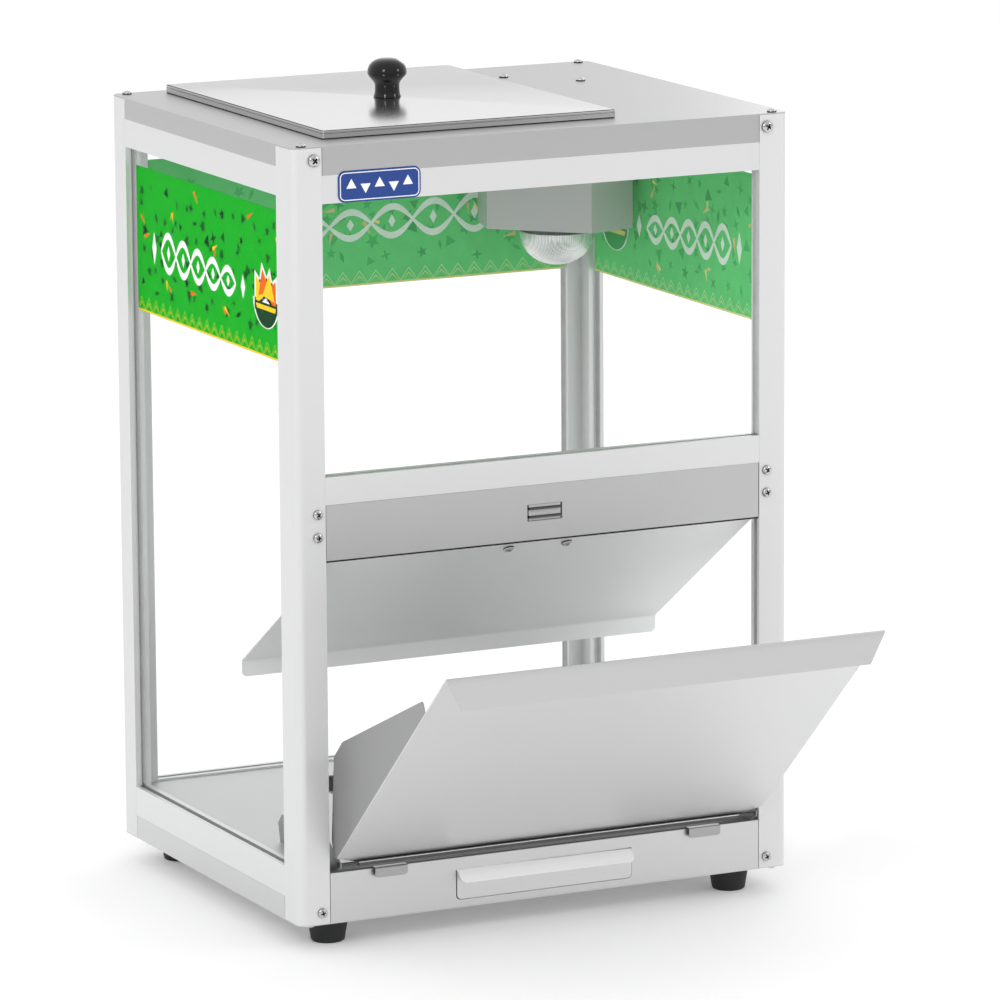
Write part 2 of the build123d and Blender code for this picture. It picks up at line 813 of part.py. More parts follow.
def foot(x, y):
    """Tapered rubber foot with a deep counterbore for its screw."""
    profile = polygon(
        (2.3, foot_height), (17, foot_height), (17, foot_height - 2), (13.6, 0),
        (6.5, 0), (6.5, 13), (2.3, 13))
    return Pos(x, y, 0) * revolve(Plane.XZ * profile, Axis.Z)


def pan_screws():
    """Screws up through the base pan into the posts, and through the feet into the pan."""
    places = [(x, y, 12.9) for x, y in foot_places()]
    places += [(x, y, base) for x, y in cover_screw_places()]
    return screws_at(m4_head, 12.0, places, (0, 0, 1))


def cover_screws():
    """Screws down through the cover into the posts and into the lamp shield."""
    places = [(x, y, base + frame_height) for x, y in cover_screw_places() + lamp_screw_places()]
    return screws_at(m4_head, 10.0, places, (0, 0, -1))


def banner(side):
    """Printed translucent sheet inside a pane."""
    low = base + 460
    high = base + 583
    near = groove_mid + glass_thickness / 2 + 0.2
    far = near + 0.6
    if side == "rear":
        half = inner_x - 2
        return block(-half, half, y_back - near, y_back - far, low, high)
    half = inner_y - 2
    sx = -1 if side == "left" else 1
    return block(sx * (x_side - near), sx * (x_side - far), -half, half, low, high)


def badge():
    """Plain name plate on the front top rail."""
    outline = Pos(-147.5, base + 606.2) * RectangleRounded(73, 25.6, 6)
    return along_y(outline, y_front - 0.9, y_front - 0.05)


def switch_bezel():
    """Frame of the rocker switch, snapped into the rear rail."""
    y0 = y_back
    frame = block(109.5, 130.5, y0, y0 + 1.8, base + 609.2, base + 624)
    body = block(110.6, 129.4, y_back - 12, y0 + 0.5, base + 610.2, base + 623)
    space = block(112, 128, y_back - 10, y0 + 3, base + 611.6, base + 621.6)
    return frame + body - space


def switch_rocker():
    """Rocker of the switch, pivoted across its middle and pressed at one end."""
    pivot_y = y_back - 0.5
    x = 120.0
    z = base + 616.6
    outline = polygon(
        (x - 7.4, pivot_y - 2), (x + 7.4, pivot_y - 2), (x + 7.4, pivot_y + 4.6),
        (x, pivot_y + 3.4), (x - 7.4, pivot_y + 4.6))
    rocker = Pos(0, 0, z - 4.6) * extrude(outline, 9.2)
    place = Pos(x, pivot_y, 0)
    return place * Rot(0, 0, 8) * Pos(-x, -pivot_y, 0) * rocker


def power_inlet():
    """Appliance inlet with three blades in a recess."""
    y0 = y_back
    body = block(144.4, 171, y_back - 22, y0 + 0.3, base + 607.6, base + 626.8)
    body += block(142.2, 173.2, y0, y0 + 2.6, base + 605.4, base + 629)
    recess = block(146, 169.4, y_back - 14, y0 + 4, base + 609.4, base + 625)
    body -= recess
    for x, z in ((150.7, 615.2), (157.7, 619.2), (164.7, 615.2)):
        body += block(x - 0.9, x + 0.9, y_back - 15, y_back - 1, base + z - 2, base + z + 2)
    return body


def build():
    """Every sub-part by name."""
    front_heights = (10.0, 322.0, 341.0, 629.0)
    rear_heights = (10.0, 629.0)
    parts = {
        "post_front_left": post(-1, -1, front_heights),
        "post_front_right": post(1, -1, front_heights),
        "post_rear_left": post(-1, 1, rear_heights),
        "post_rear_right": post(1, 1, rear_heights),
        "rail_mid_front": mid_rail(),
        "glazing_seals": seals(),
        "top_cover": top_cover(),
        "base_pan": base_pan(),
        "front_panel": front_panel(),
        "deck_plate": deck_plate(),
        "deck_supports": deck_supports(),
        "hinge_bracket_left": hinge_bracket(-1),
        "hinge_bracket_right": hinge_bracket(1),
        "bracket_rivets": bracket_rivets(),
        "hinge_rod": hinge_rod(),
        "front_band": band(),
        "baffle": baffle(),
        "catch_screws": catch_screws(),
        "catch_body": catch_body(),
        "catch_magnet": catch_magnet(),
        "catch_plates": catch_plates(),
        "door_panel": door_with_stops(),
        "door_cheek_left": door_cheek(-1),
        "door_cheek_right": door_cheek(1),
        "drawer_tray": drawer_tray(),
        "drawer_front": drawer_front(),
        "drawer_runners": drawer_runners(),
        "lid_pan": lid_pan(),
        "lid_knob": lid_knob(),
        "lid_screw": lid_screw(),
        "lamp_shield": lamp_shield(),
        "lamp_socket": lamp_socket(),
        "lamp_cap": lamp_cap(),
        "lamp_bulb": lamp_bulb(),
        "post_screws": post_screws(),
        "cover_screws": cover_screws(),
        "pan_screws": pan_screws(),
        "name_plate": badge(),
        "switch_bezel": switch_bezel(),
        "switch_rocker": switch_rocker(),
        "power_inlet": power_inlet(),
    }
    for side in ("front", "rear", "left", "right"):
        parts["rail_top_" + side] = top_rail(side)
        parts["glass_" + side] = glass(side)
    for side in ("rear", "left", "right"):
        parts["rail_bottom_" + side] = bottom_rail(side)
        parts["banner_" + side] = banner(side)
    corners = ("front_left", "rear_left", "front_right", "rear_right")
    for corner, (x, y) in zip(corners, foot_places()):
        parts["foot_" + corner] = foot(x, y)
    return parts


def move_to_origin(parts):
    """Move every piece so that x = y = 0 is the middle of the whole outline."""
    boxes = [solid.bounding_box() for solid in parts.values()]
    middle_x = (min(box.min.X for box in boxes) + max(box.max.X for box in boxes)) / 2
    middle_y = (min(box.min.Y for box in boxes) + max(box.max.Y for box in boxes)) / 2
    print("cabinet middle at y =", round(-middle_y, 4), "x =", round(-middle_x, 4))
    return {node: Pos(-middle_x, -middle_y, 0) * solid for node, solid in parts.items()}


os.makedirs("parts", exist_ok=True)
for node, solid in move_to_origin(build()).items():
    export_step(solid, "parts/" + node + ".step")
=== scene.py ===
import json
import math

import bmesh
import bpy
import numpy as np
from mathutils import Matrix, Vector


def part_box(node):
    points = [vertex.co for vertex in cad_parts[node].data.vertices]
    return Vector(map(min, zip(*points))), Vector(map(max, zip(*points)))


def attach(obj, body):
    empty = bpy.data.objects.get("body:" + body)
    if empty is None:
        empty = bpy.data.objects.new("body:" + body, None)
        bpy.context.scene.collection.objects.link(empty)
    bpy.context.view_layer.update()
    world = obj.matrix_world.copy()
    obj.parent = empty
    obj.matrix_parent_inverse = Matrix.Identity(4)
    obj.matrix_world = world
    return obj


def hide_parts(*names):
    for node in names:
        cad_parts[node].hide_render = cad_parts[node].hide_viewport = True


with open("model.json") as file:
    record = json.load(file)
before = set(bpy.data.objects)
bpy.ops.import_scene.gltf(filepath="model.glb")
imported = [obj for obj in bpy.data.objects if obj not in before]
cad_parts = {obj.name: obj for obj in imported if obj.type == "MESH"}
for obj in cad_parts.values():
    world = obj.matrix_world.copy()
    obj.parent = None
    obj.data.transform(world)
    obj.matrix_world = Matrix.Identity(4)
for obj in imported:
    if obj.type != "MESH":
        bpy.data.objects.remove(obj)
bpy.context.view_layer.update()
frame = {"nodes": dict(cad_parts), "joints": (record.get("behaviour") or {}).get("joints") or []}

# ---------------------------------------------------------------- Studio
# A long lens front left of the cabinet and a little above it, a pale floor, an even
# bright room and three soft panels of light. Lengths in this file are millimetres from
# the middle of the cabinet's underside, front towards -Y; put() turns them into metres.
cover_low, cover_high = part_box("top_cover")
middle = np.array([0.0, (cover_low.y + cover_high.y) / 2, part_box("base_pan")[0].z])
half_depth = 500 * (cover_high.y - cover_low.y)
frame_height = 640.0


class Nodes:
    """A node tree under construction."""

    def __init__(self, tree):
        self.tree = tree
        self.tree.nodes.clear()

    def node(self, kind, settings=None, sockets=None, out=0):
        """Add one node: its settings first, then its sockets' values or links."""
        made = self.tree.nodes.new(kind)
        for name, value in (settings or {}).items():
            if name == "stops":
                self.stops(made.color_ramp, value)
            else:
                setattr(made, name, value)
        for name, value in (sockets or {}).items():
            self.feed(made.inputs[name], value)
        return Wire(self, made.outputs[out]) if made.outputs else None

    def stops(self, ramp, values):
        """Set a ramp's stops, each a place with a grey or a colour."""
        first, *between, last = values
        for element, (place, colour) in zip(ramp.elements, (first, last)):
            element.position = place
            element.color = rgba(colour)
        for place, colour in between:
            ramp.elements.new(place).color = rgba(colour)

    def feed(self, socket, value):
        """Link a wire to a socket, or set the socket's own value."""
        if isinstance(value, Wire):
            self.tree.links.new(value.socket, socket)
        else:
            socket.default_value = rgba(value) if socket.type == "RGBA" else value


class Wire:
    """A node's output; arithmetic on wires adds their Math nodes."""

    def __init__(self, nodes, socket):
        self.nodes, self.socket = nodes, socket

    def maths(self, operation, *values):
        """Math node with values for its sockets in order."""
        return self.nodes.node("ShaderNodeMath", {"operation": operation}, dict(enumerate(values)))

    def __add__(self, other):
        return self.maths("ADD", self, other)

    def __sub__(self, other):
        return self.maths("SUBTRACT", self, other)

    def __rsub__(self, other):
        return self.maths("SUBTRACT", other, self)

    def __mul__(self, other):
        return self.maths("MULTIPLY", self, other)

    __radd__ = __add__
    __rmul__ = __mul__


def rgba(colour):
    """A grey number or (r, g, b) as four channels."""
    return (colour, colour, colour, 1.0) if np.isscalar(colour) else (*colour, 1.0)


azimuth, elevation, roll = np.radians([-25.891, 11.18, -0.369])
camera_place = np.array([-2.3995, -5.0426, 1.4055])
focal_length = 242.77
flat = math.cos(elevation)
ahead = np.array([-math.sin(azimuth) * flat, math.cos(azimuth) * flat, -math.sin(elevation)])
right = np.array([math.cos(azimuth), math.sin(azimuth), 0.0])
up = np.cross(right, ahead)
placed = np.eye(4)
placed[:3, 0] = right * math.cos(roll) + up * math.sin(roll)
placed[:3, 1] = up * math.cos(roll) - right * math.sin(roll)
placed[:3, 2] = -ahead
placed[:3, 3] = middle + camera_place
camera = bpy.data.objects.new("camera", bpy.data.cameras.new("camera"))
camera.data.lens = focal_length
camera.data.clip_end = 60.0
camera.matrix_world = Matrix(placed.tolist())
bpy.context.scene.collection.objects.link(camera)
bpy.context.scene.camera = camera
bpy.context.scene.view_settings.view_transform = "Standard"

world = bpy.data.worlds.new("bright_room")
world.use_nodes = True
bpy.context.scene.world = world
room = Nodes(world.node_tree)
split = {"Vector": room.node("ShaderNodeTexCoord")}
height = room.node("ShaderNodeSeparateXYZ", {}, split, out=2)
depth = room.node("ShaderNodeSeparateXYZ", {}, split, out=1)
wall_greys = [(0.0, 0.50), (0.40, 0.62), (0.5, 0.86), (0.62, 1.0), (1.0, 1.1)]
walls = room.node("ShaderNodeValToRGB", {"stops": wall_greys}, {0: height * 0.5 + 0.5})
studio = room.node("ShaderNodeBackground", {}, {"Color": walls, "Strength": depth * 0.16 + 0.9})
plain = room.node("ShaderNodeBackground", {}, {"Color": 1.0, "Strength": 1.0})
seen = room.node("ShaderNodeLightPath", out="Is Camera Ray")
shown = room.node("ShaderNodeMixShader", {}, {0: seen, 1: studio, 2: plain})
room.node("ShaderNodeOutputWorld", {}, {"Surface": shown})


def soft_panel(name, place, target, size, watts):
    """Rectangular light at a place in metres, turned towards a target."""
    light = bpy.data.lights.new(name, "AREA")
    light.shape = "RECTANGLE"
    light.size, light.size_y = size
    light.energy = watts
    lamp = bpy.data.objects.new(name, light)
    back = np.subtract(place, target)
    back = back / np.linalg.norm(back)
    side = np.cross((0, 0, 1), back)
    side = side / np.linalg.norm(side)
    turned = np.eye(4)
    turned[:3, 0], turned[:3, 1], turned[:3, 2] = side, np.cross(back, side), back
    turned[:3, 3] = place
    lamp.matrix_world = Matrix(turned.tolist())
    lamp.visible_camera = False
    bpy.context.scene.collection.objects.link(lamp)


soft_panel("panel_left", (-2.4, -2.2, 2.2), (0, 0, 0.35), (0.7, 0.9), 20)
soft_panel("panel_right", (2.6, -2.4, 1.9), (0, 0, 0.35), (0.6, 0.9), 14)
soft_panel("panel_behind", (2.0, 2.4, 1.5), (0, 0, 0.65), (0.8, 0.6), 4)


def put(name, points, faces, body, finish, smooth=35.0, stands_for=(), coats=None):
    """New piece from corner points in millimetres and faces as lists of corners.

    finish may be several finishes; coats then gives each face's place among them."""
    mesh = bpy.data.meshes.new(name)
    points = np.asarray(points, float) * 0.001 + middle
    mesh.from_pydata(points.tolist(), [], [list(face) for face in faces])
    mesh.shade_smooth()
    mesh.set_sharp_from_angle(angle=math.radians(smooth))
    for one in finish if isinstance(finish, list) else [finish]:
        mesh.materials.append(one)
    if coats is not None:
        mesh.polygons.foreach_set("material_index", np.asarray(coats, np.int32))
    piece = bpy.data.objects.new(name, mesh)
    bpy.context.scene.collection.objects.link(piece)
    if body is None:
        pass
    else:
        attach(piece, body)
        if stands_for:
            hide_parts(*stands_for)
    return piece


class Finish(Nodes):
    """A material: its Principled shader and the nodes that vary it over the surface."""

    def __init__(self, name, **values):
        self.material = bpy.data.materials.new(name)
        self.material.use_nodes = True
        super().__init__(self.material.node_tree)
        self.shader = self.tree.nodes.new("ShaderNodeBsdfPrincipled")
        self.output = self.tree.nodes.new("ShaderNodeOutputMaterial")
        self.feed(self.output.inputs["Surface"], Wire(self, self.shader.outputs[0]))
        self.set(**values)

    def set(self, **values):
        """Feed the shader's sockets; base_color means its Base Color."""
        for name, value in values.items():
            socket = name.replace("_", " ").title().replace("Ior", "IOR")
            self.feed(self.shader.inputs[socket], value)

    def noise(self, scale, stretch=(1, 1, 1), detail=3.0):
        """Noise over the piece in metres, stretched along an axis by a small factor there."""
        where = self.node("ShaderNodeTexCoord", out=3)
        where = self.node("ShaderNodeMapping", {}, {"Vector": where, "Scale": stretch})
        sockets = {"Vector": where, "Scale": scale, "Detail": detail, "Roughness": 0.55}
        return self.node("ShaderNodeTexNoise", {}, sockets)

    def blend(self, factor, first, second):
        """Mix of two colours, by a factor kept between 0 and 1."""
        made = self.tree.nodes.new("ShaderNodeMix")
        made.data_type = "RGBA"
        for place, value in ((0, factor), (6, first), (7, second)):
            self.feed(made.inputs[place], value)
        return Wire(self, made.outputs[2])

    def bump(self, height, strength, distance):
        """Small relief from a height that runs from 0 to 1 over a distance in metres."""
        sockets = {"Height": height, "Strength": strength, "Distance": distance}
        self.set(normal=self.node("ShaderNodeBump", {}, sockets))


def floor_finish():
    """Matt pale paint with a faint unevenness, kept bright under the cabinet."""
    paint = Finish("floor_paint", roughness=0.9, emission_color=(1, 1, 1), emission_strength=0.14)
    paint.set(base_color=paint.blend(paint.noise(3.0), (0.90, 0.90, 0.90), (0.93, 0.93, 0.93)))
    return paint.material


turn = np.linspace(0, 2 * math.pi, 96, endpoint=False)
rim = np.stack([9000 * np.cos(turn), 9000 * np.sin(turn) + 3500, 0 * turn - 1000 * middle[2]], 1)
put("floor", rim, [range(96)], None, floor_finish())


# ---------------------------------------------------------------- Corner posts and rails
# Natural anodised aluminium extrusions: four L-shaped corner posts with a rounded outer
# corner and grooves for the glass, and hollow rails screwed between them.
def drawn_metal(name, colour, roughness, along, metallic=1.0):
    """Satin metal with fine die or roller lines along one axis and a slight cloudiness."""
    grain, cloud = 0.02, 0.015
    metal = Finish(name, metallic=metallic)
    stretch = [1.0, 1.0, 1.0]
    stretch["xyz".index(along)] = 0.012
    lines = metal.noise(2600.0, stretch, 2.0)
    clouds = metal.noise(9.0, (1, 1, 1), 2.0)
    dark = [channel * (1 - cloud) for channel in colour]
    light = [min(1.0, channel * (1 + cloud)) for channel in colour]
    metal.set(base_color=metal.blend(clouds * 0.7 + lines * 0.3, dark, light))
    metal.set(roughness=roughness + (lines - 0.5) * grain * 2 + (clouds - 0.5) * 0.06)
    metal.bump(lines, 0.03, 0.00004)
    return metal.material


def edged(node, radius, finish, body="cabinet", segments=2):
    """Copy of a CAD piece with its corners merged, flat faces joined and edges broken."""
    mesh = frame["nodes"][node].data.copy()
    mesh.name = node + "_edged"
    for attribute in [a.name for a in mesh.attributes if a.name == "custom_normal"]:
        mesh.attributes.remove(mesh.attributes[attribute])
    work = bmesh.new()
    work.from_mesh(mesh)
    bmesh.ops.remove_doubles(work, verts=work.verts, dist=2e-6)
    bmesh.ops.dissolve_limit(
        work, angle_limit=math.radians(0.4), verts=work.verts, edges=work.edges)
    work.to_mesh(mesh)
    work.free()
    mesh.shade_smooth()
    mesh.set_sharp_from_angle(angle=math.radians(35))
    mesh.materials.clear()
    mesh.materials.append(finish)
    piece = bpy.data.objects.new(node + "_edged", mesh)
    bpy.context.scene.collection.objects.link(piece)
    bevel = piece.modifiers.new("broken_edges", "BEVEL")
    bevel.width = radius / 1000
    bevel.segments = segments
    bevel.limit_method = "ANGLE"
    bevel.angle_limit = math.radians(40)
    bevel.harden_normals = True
    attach(piece, body)
    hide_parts(node)
    return piece


def dress(finish, *nodes):
    """Give CAD nodes a finish in place of their plain one."""
    for node in nodes:
        for place in frame["nodes"][node].material_slots:
            place.material = finish


anodised = (0.745, 0.745, 0.75)
anodised_upright = drawn_metal("anodised_aluminium_upright", anodised, 0.50, "z", 0.5)
anodised_across = drawn_metal("anodised_aluminium_across", anodised, 0.40, "x", 0.72)
anodised_deep = drawn_metal("anodised_aluminium_deep", anodised, 0.40, "y", 0.72)
for corner in ("front_left", "front_right", "rear_left", "rear_right"):
    edged("post_" + corner, 0.35, anodised_upright)
for rail in ("top_front", "top_rear", "mid_front", "bottom_rear"):
    edged("rail_" + rail, 0.25, anodised_across)
for rail in ("top_left", "top_right", "bottom_left", "bottom_right"):
    edged("rail_" + rail, 0.25, anodised_deep)


# ---------------------------------------------------------------- Floor of the cabinet
# Satin stainless sheet, 1 mm: base pan with turned-up edges under the posts, lower front
# panel, and the inner floor with its crumb opening and two tabs over the front panel.
stainless = (0.64, 0.64, 0.645)
sheet_across = drawn_metal("satin_stainless_across", stainless, 0.38, "x")
sheet_deep = drawn_metal("satin_stainless_deep", stainless, 0.36, "y")
edged("base_pan", 0.3, sheet_across)
edged("front_panel", 0.3, sheet_across)
deck_steel = drawn_metal("deck_stainless", (0.60, 0.60, 0.605), 0.46, "y")
# Near-black finish for the deck's front strip under the door: painted shade.
deck_front_shade = drawn_metal("deck_front_painted_shade", (0.13, 0.13, 0.13), 0.6, "x", 0.6)
deck = edged("deck_plate", 0.3, deck_steel)


def recoat(piece, finish, chosen, cut=None):
    """Second finish on the faces that chosen picks by their centres and normals, in mm.

    cut first divides the faces along the plane at that Y."""
    piece.data.materials.append(finish)
    if cut is not None:
        work = bmesh.new()
        work.from_mesh(piece.data)
        everything = work.verts[:] + work.edges[:] + work.faces[:]
        place = (0, cut * 0.001 + middle[1], 0)
        bmesh.ops.bisect_plane(work, geom=everything, plane_co=place, plane_no=(0, 1, 0))
        work.to_mesh(piece.data)
        work.free()
    count = len(piece.data.polygons)
    centres, normals = np.empty(count * 3), np.empty(count * 3)
    piece.data.polygons.foreach_get("center", centres)
    piece.data.polygons.foreach_get("normal", normals)
    centres = (centres.reshape(-1, 3) - middle) * 1000
    mask = chosen(centres, normals.reshape(-1, 3))
    piece.data.polygons.foreach_set("material_index", mask.astype(np.int32))


# The deck's strip nearest the front, under the door, is cut off and painted near black: painted shade.
deck_cut = 24.0 - half_depth
recoat(deck, deck_front_shade, lambda at, out: at[:, 1] < deck_cut, deck_cut)
edged("deck_supports", 0.2, sheet_deep)
edged("drawer_runners", 0.2, sheet_deep)


# ---------------------------------------------------------------- Feet
# Moulded black rubber, tapered, with a rounded lower rim and a counterbore for the screw
# that holds the foot under the base pan.
def rounded(corners, radii, steps=6):
    """Open path through corners, each cut by an arc of its radius that touches both runs."""
    corners = np.asarray(corners, float)
    path = [corners[:1]]
    for before, corner, after, radius in zip(corners, corners[1:], corners[2:], radii):
        back, on = before - corner, after - corner
        back, on = back / np.linalg.norm(back), on / np.linalg.norm(on)
        half = math.acos(np.clip(back @ on, -1, 1)) / 2
        if radius == 0:
            path.append(corner[None])
            continue
        middle_way = (back + on) / np.linalg.norm(back + on)
        centre = corner + middle_way * radius / math.sin(half)
        start = corner + back * radius / math.tan(half) - centre
        end = corner + on * radius / math.tan(half) - centre
        sweep = math.atan2(start[0] * end[1] - start[1] * end[0], start @ end)
        angles = np.linspace(0, sweep, steps + 1)
        side = np.array([-start[1], start[0]])
        path.append(centre + np.cos(angles)[:, None] * start + np.sin(angles)[:, None] * side)
    path.append(corners[-1:])
    return np.concatenate(path)


def ring_faces(rows, columns, first=0):
    """Quads between rows of points that each close round into a ring."""
    row, column = np.meshgrid(np.arange(rows - 1), np.arange(columns), indexing="ij")
    here = first + row * columns + column
    beside = first + row * columns + (column + 1) % columns
    quads = np.stack([here, beside, beside + columns, here + columns], -1)
    return quads.reshape(-1, 4).tolist()


def turned(profile, centre, segments=64):
    """Turned shape: each (radius, height) of the profile goes round the upright axis."""
    profile = np.asarray(profile, float)
    angles = np.linspace(0, 2 * math.pi, segments, endpoint=False)
    x = centre[0] + profile[:, :1] * np.cos(angles)
    y = centre[1] + profile[:, :1] * np.sin(angles)
    z = centre[2] + profile[:, 1:] + 0 * x
    return np.stack([x, y, z], -1).reshape(-1, 3), ring_faces(len(profile), segments)


def closed_turned(profile, centre, segments=64):
    """Turned shape whose first and last rings are closed by flat discs."""
    points, faces = turned(profile, centre, segments)
    last = (len(profile) - 1) * segments
    faces.append(list(range(segments))[::-1])
    faces.append(list(range(last, last + segments)))
    return points, faces


def joined(parts):
    """Several (points, faces) pieces as one."""
    points, faces, first = [], [], 0
    for some, theirs in parts:
        points.append(some)
        faces += [[corner + first for corner in face] for face in theirs]
        first += len(some)
    return np.concatenate(points), faces


def rubber_finish(name, colour, glow=0.0):
    """Matt moulded rubber with a fine grain and a little bloom.

    glow stands for the light that a strip deep in a groove gets through its pane."""
    rubber = Finish(name, specular_ior_level=0.35, emission_color=0.8, emission_strength=glow)
    bloom = rubber.noise(60.0)
    rubber.set(base_color=rubber.blend(bloom, colour, [channel * 1.9 + 0.004 for channel in colour]))
    rubber.set(roughness=bloom * 0.2 + 0.5)
    rubber.bump(rubber.noise(2400.0), 0.2, 0.0001)
    return rubber.material


def extent(node):
    """Low and high corner of a CAD piece's box, in this file's millimetres."""
    return [(np.array(corner) - middle) * 1000 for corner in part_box(node)]


black_rubber = rubber_finish("black_rubber", (0.012, 0.012, 0.013))
foot_height = 22.0
for corner in ("front_left", "front_right", "rear_left", "rear_right"):
    low, high = extent("foot_" + corner)
    centre = (*(low + high)[:2] / 2, -foot_height)
    corners = [(2.3, 13), (6.5, 13), (6.5, 0), (13.8, 0), (17, 19.5), (17, 22), (2.3, 22)]
    path = rounded(corners, (0.5, 1.2, 2.2, 1.0, 0.5))
    path = np.concatenate([path, path[:1]])
    points, faces = turned(path, centre)
    put("foot_%s_moulded" % corner, points, faces, "cabinet", black_rubber, 40,
        ["foot_" + corner])


# ---------------------------------------------------------------- Glass and glazing strips
# Four panes of 4 mm clear glass that stand in the grooves, with grey rubber strips
# pressed in beside their upright edges.
def glass_finish(name, tint, clear, dirt):
    """Clear glass: it lets through what is behind it and reflects a little at its outer faces.

    The share that reflects is Fresnel's, cut down to mirror_share, plus a thin haze of dirt."""
    mirror_share = 0.12
    glass = Finish(name, base_color=tint, roughness=0.03, metallic=0.0)
    gloss = Wire(glass, glass.shader.outputs[0])
    through = glass.node("ShaderNodeBsdfTransparent", {}, {"Color": clear})
    outside = 1 - glass.node("ShaderNodeNewGeometry", out=6)
    mirror = glass.node("ShaderNodeFresnel", {}, {"IOR": 1.45}) * outside * mirror_share
    haze = glass.noise(14.0, (1, 1, 1), 2.0) * dirt
    surface = glass.node("ShaderNodeMixShader", {}, {0: mirror + haze, 1: through, 2: gloss})
    glass.feed(glass.output.inputs["Surface"], surface)
    return glass.material


pane_glass = glass_finish("clear_pane", (0.94, 0.96, 0.95), (0.995, 1.0, 0.997), 0.004)
dress(pane_glass, "glass_front", "glass_rear", "glass_left", "glass_right")
dress(rubber_finish("glazing_rubber", (0.22, 0.22, 0.22), 0.22), "glazing_seals")


# ---------------------------------------------------------------- Printed banners
# Translucent film, 0.6 mm, printed on its outer face and set inside the rear and side
# panes: green ground, dark specks, confetti, a zigzag hem and a plain white flourish.
# Seen from inside the cabinet the same print is mirrored and paler, partly as film seen from
# behind and partly as painted light against the shade inside the cabinet.
def ink_finish(name, colour):
    """Printed ink on film: matt, with the slight mottle of a roller print."""
    spread = 0.10
    ink = Finish(name, roughness=0.7, specular_ior_level=0.02)
    dark = [channel * (1 - spread) for channel in colour]
    light = [channel * (1 + spread) for channel in colour]
    ink.set(base_color=ink.blend(ink.noise(70.0), dark, light))
    return ink.material


inks = {
    "ground": ((0.001, 0.430, 0.010), (0.165, 0.700, 0.240)),
    "speck": ((0.001, 0.110, 0.008), (0.110, 0.550, 0.180)),
    "leaf": ((0.001, 0.050, 0.012), (0.095, 0.460, 0.160)),
    "orange": ((0.900, 0.150, 0.008), (0.800, 0.620, 0.320)),
    "yellow": ((0.950, 0.640, 0.015), (0.880, 0.820, 0.300)),
    "hem": ((0.420, 0.700, 0.015), (0.560, 0.900, 0.500)),
    "white": ((0.950, 0.950, 0.940), (0.800, 0.950, 0.830)),
}
ink_names = list(inks)
ink_list = [ink_finish("ink_" + name, outer) for name, (outer, inner) in inks.items()]
ink_list += [ink_finish("ink_%s_from_behind" % name, inner) for name, (outer, inner) in inks.items()]


def ribbon(path, width):
    """Flat band of a width along a path: two offset copies of the path, joined by quads."""
    path = np.asarray(path, float)
    along = np.gradient(path, axis=0)
    along /= np.linalg.norm(along, axis=1)[:, None]
    side = np.stack([-along[:, 1], along[:, 0]], 1) * width / 2
    first = np.arange(len(path) - 1)
    faces = np.stack([first, first + len(path), first + len(path) + 1, first + 1], 1)
    return np.concatenate([path + side, path - side]), faces.tolist()


def star(centre, radius, inner, points, lean=0.0):
    """Outline whose radius swings between two values as it goes round."""
    angles = np.arange(2 * points) * math.pi / points + lean
    reach = np.where(np.arange(2 * points) % 2 == 0, radius, inner)
    return np.asarray(centre) + np.stack([reach * np.cos(angles), reach * np.sin(angles)], 1)


def scattered(length, height, number, seed, apart):
    """Places spread over the film: a jittered grid, shuffled by a fixed seed."""
    chance = np.random.default_rng(seed)
    columns = max(1, int(round(math.sqrt(number * length / height))))
    rows = max(1, int(round(number / columns)))
    column, row = np.meshgrid(np.arange(columns), np.arange(rows))
    places = np.stack([(column.ravel() + 0.5) / columns, (row.ravel() + 0.5) / rows], 1)
    places += chance.uniform(-0.5, 0.5, places.shape) * apart / np.array([columns, rows])
    return places * [length - 16, height - 30] + [8 - length / 2, 18], chance


def print_shapes(length, height, seed):
    """Every printed shape as (ink, layer, points, faces) with u to the right and v up."""
    shapes = []
    places, chance = scattered(length, height, int(length * height / 480), seed, 0.9)
    for number, place in enumerate(places):
        size = chance.uniform(4.2, 7.4)
        lean = chance.uniform(0, 2 * math.pi)
        points, inner = ((3, 0.5), (2, 0.35), (5, 0.45), (4, 0.3))[number % 4]
        outline = star(place, size, size * inner, points, lean)
        shapes.append(("leaf" if number % 3 == 0 else "speck", 1, outline, [range(len(outline))]))
    places, chance = scattered(length, height, int(length / 20), seed + 1, 1.0)
    for number, place in enumerate(places):
        for ink in ("orange", "yellow")[:1 + number % 2]:
            angles = chance.uniform(0, 2 * math.pi) + np.array([0.0, 2.6, 3.3])
            reach = np.array([6.2, 5.0, 5.0]) * chance.uniform(0.8, 1.2)
            outline = place + np.stack([reach * np.cos(angles), reach * np.sin(angles)], 1)
            outline += chance.uniform(-5, 5, 2)
            shapes.append((ink, 2 if ink == "orange" else 3, outline, [range(3)]))
    teeth = int(round(length / 15.5))
    for low, high, ink in ((2.0, 12.5, "hem"), (-2.6, 8.0, "yellow")):
        u = np.linspace(-length / 2, length / 2, 2 * teeth + 1)
        v = np.where(np.arange(2 * teeth + 1) % 2 == 0, low, high)
        shapes.append((ink, 2, *ribbon(np.stack([u, v], 1), 0.9)))
    edge = np.array([(-length / 2, 0), (length / 2, 0), (length / 2, 1.6), (-length / 2, 1.6)])
    shapes.append(("yellow", 3, edge, [range(4)]))
    return shapes + flourish(length * 0.30, (-length * 0.08, height * 0.44)) + chip_bowl(
        (length * 0.37, height * 0.36))


